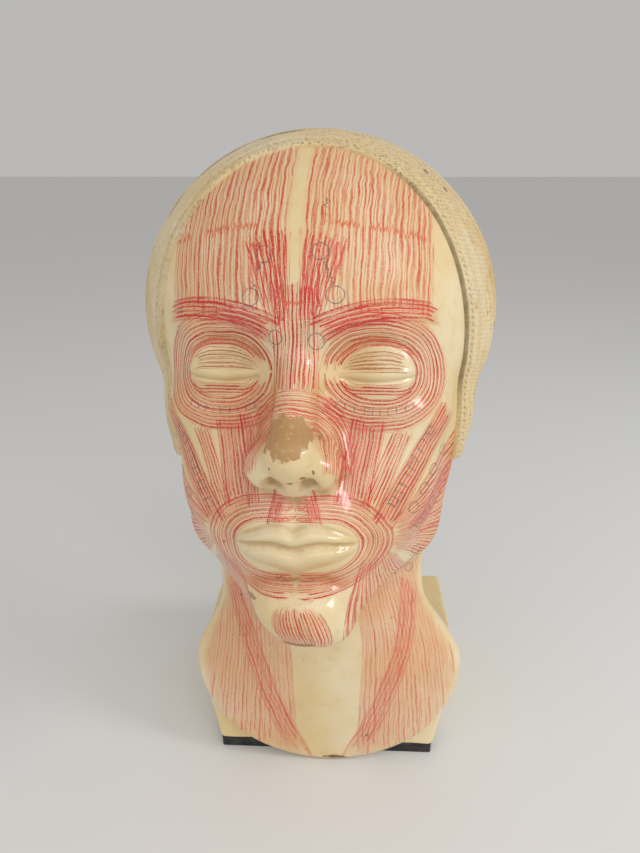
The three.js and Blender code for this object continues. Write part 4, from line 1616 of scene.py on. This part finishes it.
@dataclass(frozen=True)
class PencilLayer:
    """Turns the marks of one layer of the drawing into pencil strokes."""

    name: str
    seed: float
    sided: bool = True
    half_width: float = 0.14
    wash: float = 0.09
    rose_wash: float = 0.22
    pressure: float = 1.2
    pressure_length: float = 13.0
    ragged_reach: float = 4.5
    wander: float = 1.1
    finer: float = 1.83
    crossing: float = 0.035

    def family(
        self, nodes: Nodes, marks: list[Socket], side: Source, seed: float, width: float
    ) -> tuple[Socket, Socket]:
        """One family of strokes: a line along the middle of each numbered strip, of random width, strength
        and reach, whose pressure comes and goes along it.

        Args:
            nodes: the material's nodes.
            marks: stroke number, along and inside.
            side: 0 on the left and 1 on the right.
            seed: number that sets this family apart.
            width: half width of the line, counted in strips.

        Returns:
            How much pencil lies there, and a random value a stroke.
        """
        number, along, inside = marks
        index = nodes.math("FLOOR", number)
        strength, wide, reach = nodes.chance(index, seed, side)
        off = nodes.math("ABSOLUTE", nodes.scaled(nodes.math("FRACT", number), 1.0, -0.5))
        half = nodes.scaled(wide, width, width * 1.3)
        line = nodes.step(off, half, nodes.product(half, 0.45))
        travelled = nodes.scaled(along, 1 / self.pressure_length)
        place = nodes.vector(nodes.scaled(index, 5.3, seed), travelled, side)
        pressure = nodes.step(nodes.noise(1.0, 2, place), 0.3, 0.62)
        ends = nodes.step(nodes.scaled(reach, -self.ragged_reach, inside), -0.4, 0.8)
        pencil = nodes.product(line, nodes.scaled(pressure, 0.5, 0.55), ends)
        return nodes.product(pencil, nodes.scaled(strength, 0.6, 0.7)), wide

    def draw(self, nodes: Nodes, colour: Socket, wobble: Socket, tooth: Socket, side: Source) -> Socket:
        """Lays the layer's wash, its strokes and the finer strokes between them over a colour.

        Args:
            nodes: the material's nodes.
            colour: the colour so far.
            wobble: noise that makes the strokes wander.
            tooth: grain of the plaster that breaks the pencil up.
            side: 0 on the left and 1 on the right.

        Returns:
            The colour with this layer on it.
        """
        number, along, inside = nodes.parts(nodes.attribute(f"{self.name}_marks", "Vector"))
        tone = nodes.attribute(f"{self.name}_tone")
        side = side if self.sided else 0.0
        number = nodes.scaled(wobble, self.wander, number)
        strong, shade = self.family(nodes, [number, along, inside], side, self.seed, self.half_width)
        finer = nodes.scaled(number, self.finer, nodes.scaled(along, self.crossing, 0.37))
        weak, _ = self.family(nodes, [finer, along, inside], side, self.seed + 7, self.half_width * 0.8)
        red = nodes.over(Colour.RED, Colour.DEEP_RED, shade)
        pencil = nodes.over(red, Colour.ROSE, tone)
        pencil = nodes.over(pencil, Colour.BROWN_PENCIL, nodes.scaled(tone, 1.0, -1.0))
        rose = nodes.math("PINGPONG", tone, 1.0)
        wash = nodes.scaled(nodes.step(rose, 0.6, 1.0), self.rose_wash - self.wash, self.wash)
        wash = nodes.product(nodes.step(inside, -0.2, 3.0), wash)
        lines = nodes.math("MAXIMUM", strong, nodes.product(weak, 0.8))
        light = nodes.scaled(rose, -0.32 * self.pressure, self.pressure)
        return nodes.over(colour, pencil, nodes.math("MAXIMUM", wash, nodes.product(lines, tooth, light)))


@dataclass(frozen=True)
class DrawnPlaster(Plaster):
    """The face's plaster with the pencil drawing, notes turned to scribble, rings and chips."""

    layers: tuple[PencilLayer, ...] = (
        PencilLayer("sheet", 3.0),
        PencilLayer("middle", 17.0, sided=False),
        PencilLayer("eye", 31.0, wash=0.05),
        PencilLayer("ribbon", 53.0, half_width=0.16, wash=0.22, rose_wash=0.15, pressure=1.25),
    )

    wander_size: float = 11.0
    tooth_size: float = 0.5
    word_length: float = 4.3
    letter_length: float = 1.1
    rung_pitch: float = 3.6
    rail_offset: float = 2.1
    ring_line: float = 0.36
    ragged_size: float = 3.2
    chip_depth: float = 0.06
    dulled: float = 0.22

    def wavy_line(self, nodes: Nodes, along: Socket, offset: Socket, gap: Socket) -> Socket:
        """A line that rises and falls with noise along its row, with gaps between groups.

        Args:
            nodes: the material's nodes.
            along: distance along the row.
            offset: distance from the row's middle, counted in its heights.
            gap: a random value a group.

        Returns:
            How much pencil lies there.
        """
        letters = nodes.vector(nodes.scaled(along, 1 / self.letter_length), 7.0)
        rise = nodes.scaled(nodes.noise(1.0, 2, letters), 10.0, -5.0)
        line = nodes.step(nodes.math("ABSOLUTE", nodes.math("SUBTRACT", offset, rise)), 1.0, 0.3)
        return nodes.product(line, nodes.step(gap, 0.16, 0.24))

    def ladder(self, nodes: Nodes, along: Socket, offset: Socket, gap: Socket) -> Socket:
        """Rungs whose spacing wanders, between two rails that come and go.

        Args:
            nodes: the material's nodes.
            along: distance along the row.
            offset: distance from the row's middle, counted in its heights.
            gap: a random value a group.

        Returns:
            How much pencil lies there.
        """
        spacing = nodes.scaled(nodes.noise(9), 1.6, nodes.scaled(along, 1 / self.rung_pitch))
        rung = nodes.math("ABSOLUTE", nodes.scaled(nodes.math("FRACT", spacing), 1.0, -0.5))
        rail = nodes.scaled(nodes.math("ABSOLUTE", offset), 1.0, -self.rail_offset)
        rail = nodes.math("ABSOLUTE", rail)
        rungs = nodes.product(nodes.step(rung, 0.1, 0.04), nodes.step(rail, 2.4, 2.0))
        rails = nodes.product(nodes.step(rail, 0.4, 0.15), nodes.step(gap, 0.3, 0.5))
        return nodes.math("MAXIMUM", rungs, rails)

    def scribble(self, nodes: Nodes, colour: Socket, tooth: Socket) -> Socket:
        """Rows of scribble in place of notes, each a wavy line or a ladder.

        Args:
            nodes: the material's nodes.
            colour: the colour so far.
            tooth: grain of the plaster that breaks the pencil up.

        Returns:
            The colour with the rows on it.
        """
        along, offset, inside = nodes.parts(nodes.attribute("scribble_marks", "Vector"))
        orange, ladder, _ = nodes.parts(nodes.attribute("scribble_tone", "Vector"))
        group, _, gap = nodes.chance(nodes.math("FLOOR", nodes.scaled(along, 1 / self.word_length)), 92.0)
        wavy = nodes.product(self.wavy_line(nodes, along, offset, gap), nodes.scaled(ladder, -1.0, 1.0))
        rungs = nodes.product(self.ladder(nodes, along, offset, gap), ladder, 0.9)
        line = nodes.total(wavy, rungs)
        shown = nodes.product(line, nodes.step(inside, 0.0, 0.5), tooth, nodes.scaled(group, 0.3, 0.7))
        return nodes.over(colour, nodes.over(Colour.GREY_PENCIL, Colour.ORANGE, orange), shown)

    def rings(self, nodes: Nodes, colour: Socket, tooth: Socket, wobble: Socket) -> Socket:
        """Pencilled rings: where the distance from the nearest ring's middle is that ring's radius.

        Args:
            nodes: the material's nodes.
            colour: the colour so far.
            tooth: grain of the plaster that breaks the pencil up.
            wobble: noise that bends the rings.

        Returns:
            The colour with the rings on it.
        """
        away = nodes.scaled(wobble, 0.55, nodes.scaled(nodes.attribute("ring_away"), 1.0, -1.0))
        off = nodes.product(nodes.math("ABSOLUTE", away), nodes.attribute("ring_size"))
        line = nodes.step(off, self.ring_line, 0.1)
        faint = nodes.scaled(nodes.noise(5), 0.9, 0.3)
        return nodes.over(colour, Colour.GREY_PENCIL, nodes.product(line, tooth, faint))

    def chips(self, nodes: Nodes) -> Socket:
        """Share of bare plaster: inside the nearest chip's outline, made ragged by noise."""
        uneven = nodes.scaled(nodes.noise(self.ragged_size, 3), 0.9, -0.45)
        return nodes.step(nodes.total(uneven, nodes.attribute("chip_away")), 1.04, 0.96)

    def colour(self, nodes: Nodes) -> Socket:
        """The plaster, then the layers of strokes, the rings and the scribble, then the chips.

        Args:
            nodes: the material's nodes.

        Returns:
            The colour.
        """
        colour = super().colour(nodes)
        wobble = nodes.scaled(nodes.noise(self.wander_size), 1.0, -0.5)
        tooth = nodes.scaled(nodes.step(nodes.noise(self.tooth_size), 0.32, 0.6), 0.5, 0.5)
        side = nodes.attribute("side")
        for layer in self.layers:
            colour = layer.draw(nodes, colour, wobble, tooth, side)
        colour = self.rings(nodes, colour, tooth, wobble)
        colour = self.scribble(nodes, colour, tooth)
        chips = self.chips(nodes)
        bare = nodes.over(Colour.BARE_TAN, Colour.BROWN, nodes.attribute("chip_brown"))
        pale = nodes.product(nodes.step(nodes.noise(1.6, 4), 0.5, 0.8), 0.35)
        return nodes.over(colour, nodes.over(bare, Colour.PALE_CREAM, pale), chips)

    def varnish(self, nodes: Nodes) -> Source:
        """Less varnish on the forehead, where the pencil has dulled it, and little on the chips."""
        whole = nodes.scaled(self.chips(nodes), -0.8, 1.0)
        return nodes.product(nodes.attribute("polish"), whole, self.coat)

    def gloss(self, nodes: Nodes) -> Socket:
        """The plaster's roughness, more of it where it is less polished."""
        dullest = nodes.scaled(super().gloss(nodes), 1.0, self.dulled)
        return nodes.scaled(nodes.attribute("polish"), -self.dulled, dullest)

    def relief(self, nodes: Nodes) -> Socket:
        """The plaster's relief with the chips sunk into it."""
        return nodes.total(super().relief(nodes), nodes.product(self.chips(nodes), -self.chip_depth))


@dataclass(frozen=True)
class ClothPlaster(Plaster):
    """Plastered cloth of the cap: dirt in the weave, ochre folds, brown wear, stitches and a painted shadow
    line along the hem.
    """

    stain_size: float = 4.5
    dirt_size: float = 1.4
    streak_length: float = 60.0
    streak_width: float = 5.0
    grain_size: float = 1.3
    grain_height: float = 0.14

    def colour(self, nodes: Nodes) -> Socket:
        """The plaster with marks by place: ochre folds, weave specks, stitch gaps and worn spots, and a
        painted shadow line along the hem.

        Args:
            nodes: the material's nodes.

        Returns:
            The colour.
        """
        colour = super().colour(nodes)
        along, down, weave = nodes.parts(nodes.attribute("cloth_marks", "Vector"))
        stain, hem, speckled = nodes.parts(nodes.attribute("cloth_stain_and_shadow", "Vector"))
        patchy = nodes.noise(self.stain_size, 4)
        fine = nodes.noise(self.dirt_size, 3)
        streaked = nodes.scaled(along, 1 / self.streak_length), nodes.scaled(down, 1 / self.streak_width)
        streak = nodes.noise(1.0, 3, nodes.vector(*streaked, 3.0))
        ochre = nodes.product(stain, nodes.step(streak, 0.38, 0.7))
        ochre = nodes.total(ochre, nodes.step(patchy, 0.55, 0.8))
        colour = nodes.over(colour, Colour.OCHRE, nodes.product(ochre, 0.66))
        sunk = nodes.product(nodes.step(weave, 0.3, -0.5), nodes.step(fine, 0.36, 0.6))
        colour = nodes.over(colour, Colour.OLIVE, nodes.product(sunk, nodes.scaled(speckled, 0.5, 0.5)))
        dots = nodes.product(nodes.step(fine, 0.55, 0.68), nodes.step(speckled, 0.3, 1.0))
        colour = nodes.over(colour, Colour.DARK_SPECK, nodes.product(dots, 0.5))
        # Painted shadow along the hem: an olive line where the cloth meets the face.
        colour = nodes.over(colour, Colour.OLIVE, nodes.product(hem, nodes.scaled(patchy, 0.7, 0.4)))
        gaps = nodes.attribute("stitch_gaps")
        colour = nodes.over(colour, Colour.BROWN, nodes.product(gaps, 0.6))
        worn = nodes.total(nodes.attribute("wear_away"), nodes.scaled(patchy, 1.3, -0.65))
        strength = nodes.product(nodes.attribute("wear_strength"), nodes.scaled(fine, 1.1, 0.2))
        return nodes.over(colour, Colour.BROWN, nodes.product(nodes.step(worn, 1.1, 0.75), strength))

    def relief(self, nodes: Nodes) -> Socket:
        """The plaster's relief with the grain of the cloth."""
        grain = nodes.scaled(nodes.noise(self.grain_size, 3), self.grain_height)
        return nodes.total(super().relief(nodes), grain)


@dataclass(frozen=True)
class BlackLacquer:
    """Satin black of the foot plate: dust in patches and fine scuffs."""

    name: str = "foot_lacquer"
    dust_size: float = 9.0
    scuffs_per_metre: tuple[float, float] = (60.0, 900.0)
    grain_size: float = 1.1

    def build(self) -> bpy.types.Material:
        """Black, greyed by dust and by scuffs stretched along the plate, rougher where dusty.

        Returns:
            The finished material.
        """
        nodes = Nodes(self.name)
        dust = nodes.step(nodes.noise(self.dust_size, 5), 0.45, 0.8)
        x, y, z = nodes.parts(nodes.place)
        along, across = self.scuffs_per_metre
        stretched = nodes.vector(nodes.scaled(x, along), nodes.scaled(y, across), nodes.scaled(z, across))
        scuffs = nodes.step(nodes.noise(1.0, 3, stretched), 0.62, 0.74)
        worn = nodes.total(nodes.product(dust, 0.28), nodes.product(scuffs, 0.2))
        nodes.set(
            Base_Color=nodes.over(Colour.BLACK, Colour.DUST, worn),
            Roughness=nodes.scaled(dust, 0.25, 0.26),
            Specular_IOR_Level=0.5,
        )
        nodes.bump(nodes.total(nodes.scaled(nodes.noise(self.grain_size), 0.02), nodes.scaled(scuffs, -0.01)))
        return nodes.material


@dataclass(frozen=True)
class FloorPaint:
    """Plain pale floor."""

    name: str = "pale_floor"
    gloss_size: float = 120.0

    def build(self) -> bpy.types.Material:
        """One pale colour, with a faint unevenness in its gloss.

        Returns:
            The finished material.
        """
        nodes = Nodes(self.name)
        gloss = nodes.scaled(nodes.noise(self.gloss_size), 0.1, 0.6)
        nodes.set(Base_Color=Colour.PALE_FLOOR, Roughness=gloss)
        return nodes.material


@dataclass(frozen=True)
class Lamp:
    """A round soft lamp: its place and width in metres and its power in watts."""

    name: str
    place: tuple[float, float, float]
    width: float
    power: float

    def build(self, aim: Vector) -> None:
        """Hangs the lamp and turns it to look at a place.

        Args:
            aim: the place, in metres.
        """
        data = bpy.data.lights.new(self.name, "AREA")
        data.shape, data.size, data.energy = "DISK", self.width, self.power
        lamp = in_scene(self.name, data)
        lamp.location = self.place
        lamp.rotation_euler = (aim - Vector(self.place)).to_track_quat("-Z", "Y").to_euler()


@dataclass
class Studio:
    """Plain pale floor, soft light and the camera."""

    focal_pixels: float = 641.0
    image_height: float = 853.0
    pitch: float = math.radians(21.8)
    azimuth: float = math.radians(2.5)
    camera_forward: float = -288.7
    camera_height: float = 276.6
    camera_side: float = -5.0
    floor_reach: float = 30.0
    sky: tuple[float, float, float, float] = (0.98, 0.965, 0.95, 1)
    sky_strength: float = 0.5
    lamp_aim: tuple[float, float, float] = (0, 0, 0.16)
    lamps: tuple[Lamp, ...] = (
        Lamp("window", (0.95, -0.3, 0.62), 0.3, 3.2),
        Lamp("key", (0.4, -0.8, 0.95), 1.1, 3.9),
        Lamp("fill", (-0.7, -0.7, 0.6), 1.0, 1.6),
    )

    def camera(self) -> None:
        """Camera in front of the mask, looking down; its lens follows from the focal length in pixels."""
        data = bpy.data.cameras.new("camera")
        data.sensor_fit = "AUTO"
        data.sensor_width = 36
        data.lens = self.focal_pixels / self.image_height * data.sensor_width
        data.clip_start = 0.01
        camera = in_scene("camera", data)
        c, s = math.cos(self.azimuth), math.sin(self.azimuth)
        x = self.camera_side * c - self.camera_forward * s
        y = self.camera_side * s + self.camera_forward * c
        camera.location = Vector((x, y, self.camera_height)) * MM
        level = math.cos(self.pitch)
        forward = Vector((-s * level, c * level, -math.sin(self.pitch)))
        camera.rotation_euler = forward.to_track_quat("-Z", "Y").to_euler()
        bpy.context.scene.camera = camera

    def floor(self) -> None:
        """A wide pale floor."""
        mesh = bpy.data.meshes.new("floor")
        reach = self.floor_reach
        corners = [(-reach, -reach, 0), (reach, -reach, 0), (reach, reach, 0), (-reach, reach, 0)]
        mesh.from_pydata(corners, [], [(0, 1, 2, 3)])
        mesh.materials.append(FloorPaint().build())
        in_scene("floor", mesh)

    def build(self) -> None:
        """Sets up camera, floor, lamps and sky."""
        self.camera()
        self.floor()
        for lamp in self.lamps:
            lamp.build(Vector(self.lamp_aim))
        world = bpy.data.worlds.new("room")
        bpy.context.scene.world = world
        world.use_nodes = True
        background = world.node_tree.nodes["Background"]
        background.inputs["Color"].default_value = self.sky
        background.inputs["Strength"].default_value = self.sky_strength
        bpy.context.scene.view_settings.view_transform = "Standard"


@dataclass
class StudyMask:
    """The whole object: mask body, cap band, block and foot plate."""

    form: MaskForm = MaskForm()

    def build_body(self) -> bpy.types.Object:
        """The plaster mask.

        Returns:
            The piece.
        """
        surface, values = MaskBody(self.form).build()
        mesh = surface.mesh("mask_body")
        set_values(mesh, values)
        piece = attach("mask_body", mesh, DrawnPlaster("drawn_plaster").build(), "plaster_head")
        return piece

    def build_cap(self) -> bpy.types.Object:
        """The cloth-cap band.

        Returns:
            The piece.
        """
        surface, values = CapBand(self.form).build()
        mesh = surface.mesh("cap_band")
        set_values(mesh, values)
        finish = ClothPlaster("cloth_plaster", dirt_and_shade=0.5, coat=0.3, coat_roughness=0.2, roughness=0.52)
        piece = attach("cap_band", mesh, finish.build(), "plaster_head")
        return piece

    def build_block(self) -> bpy.types.Object:
        """The tapered block behind the neck: its sides flare, and its front leans back with the mask.

        Returns:
            The piece.
        """
        low, high = (np.array(corner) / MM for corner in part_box("foot_plate"))
        seat, overhang, top = 0.3, 0.9, 47.0
        side_flare = math.radians(15.2)
        slab = Slab(
            "block",
            "plaster_head",
            (low[0] - overhang, low[1] - overhang, high[2] + seat),
            (high[0] + overhang, high[1], top),
            flare=math.tan(side_flare),
            lean=math.tan(self.form.lean),
            edge=1.6,
            corner=3.0,
            unevenness=0.25,
        )
        surface = slab.build()
        mesh = surface.mesh(slab.name)
        set_values(mesh, {"hollows": hollow_values(surface.rings)})
        finish = Plaster("block_plaster", dirt_and_shade=0.5, coat=0.25, coat_roughness=0.25, roughness=0.55)
        piece = attach(slab.name, mesh, finish.build(), slab.node)
        return piece

    def build_foot(self) -> bpy.types.Object:
        """The thin black foot plate.

        Returns:
            The piece.
        """
        low, high = (tuple(np.array(corner) / MM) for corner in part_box("foot_plate"))
        slab = Slab("foot", "foot_plate", low, high, edge=0.5, corner=1.2, levels=6)
        mesh = slab.build().mesh(slab.name)
        piece = attach(slab.name, mesh, BlackLacquer().build(), slab.node)
        return piece


def main() -> None:
    """Builds the studio and the mask's pieces in order."""
    logging.basicConfig(level=logging.INFO, format="%(message)s")
    Studio().build()
    mask = StudyMask()
    for build in (mask.build_body, mask.build_cap, mask.build_block, mask.build_foot):
        piece = build()
        LOG.info("%s: %d vertices, %d faces", piece.name, len(piece.data.vertices), len(piece.data.polygons))


if __name__ == "__main__":
    main()
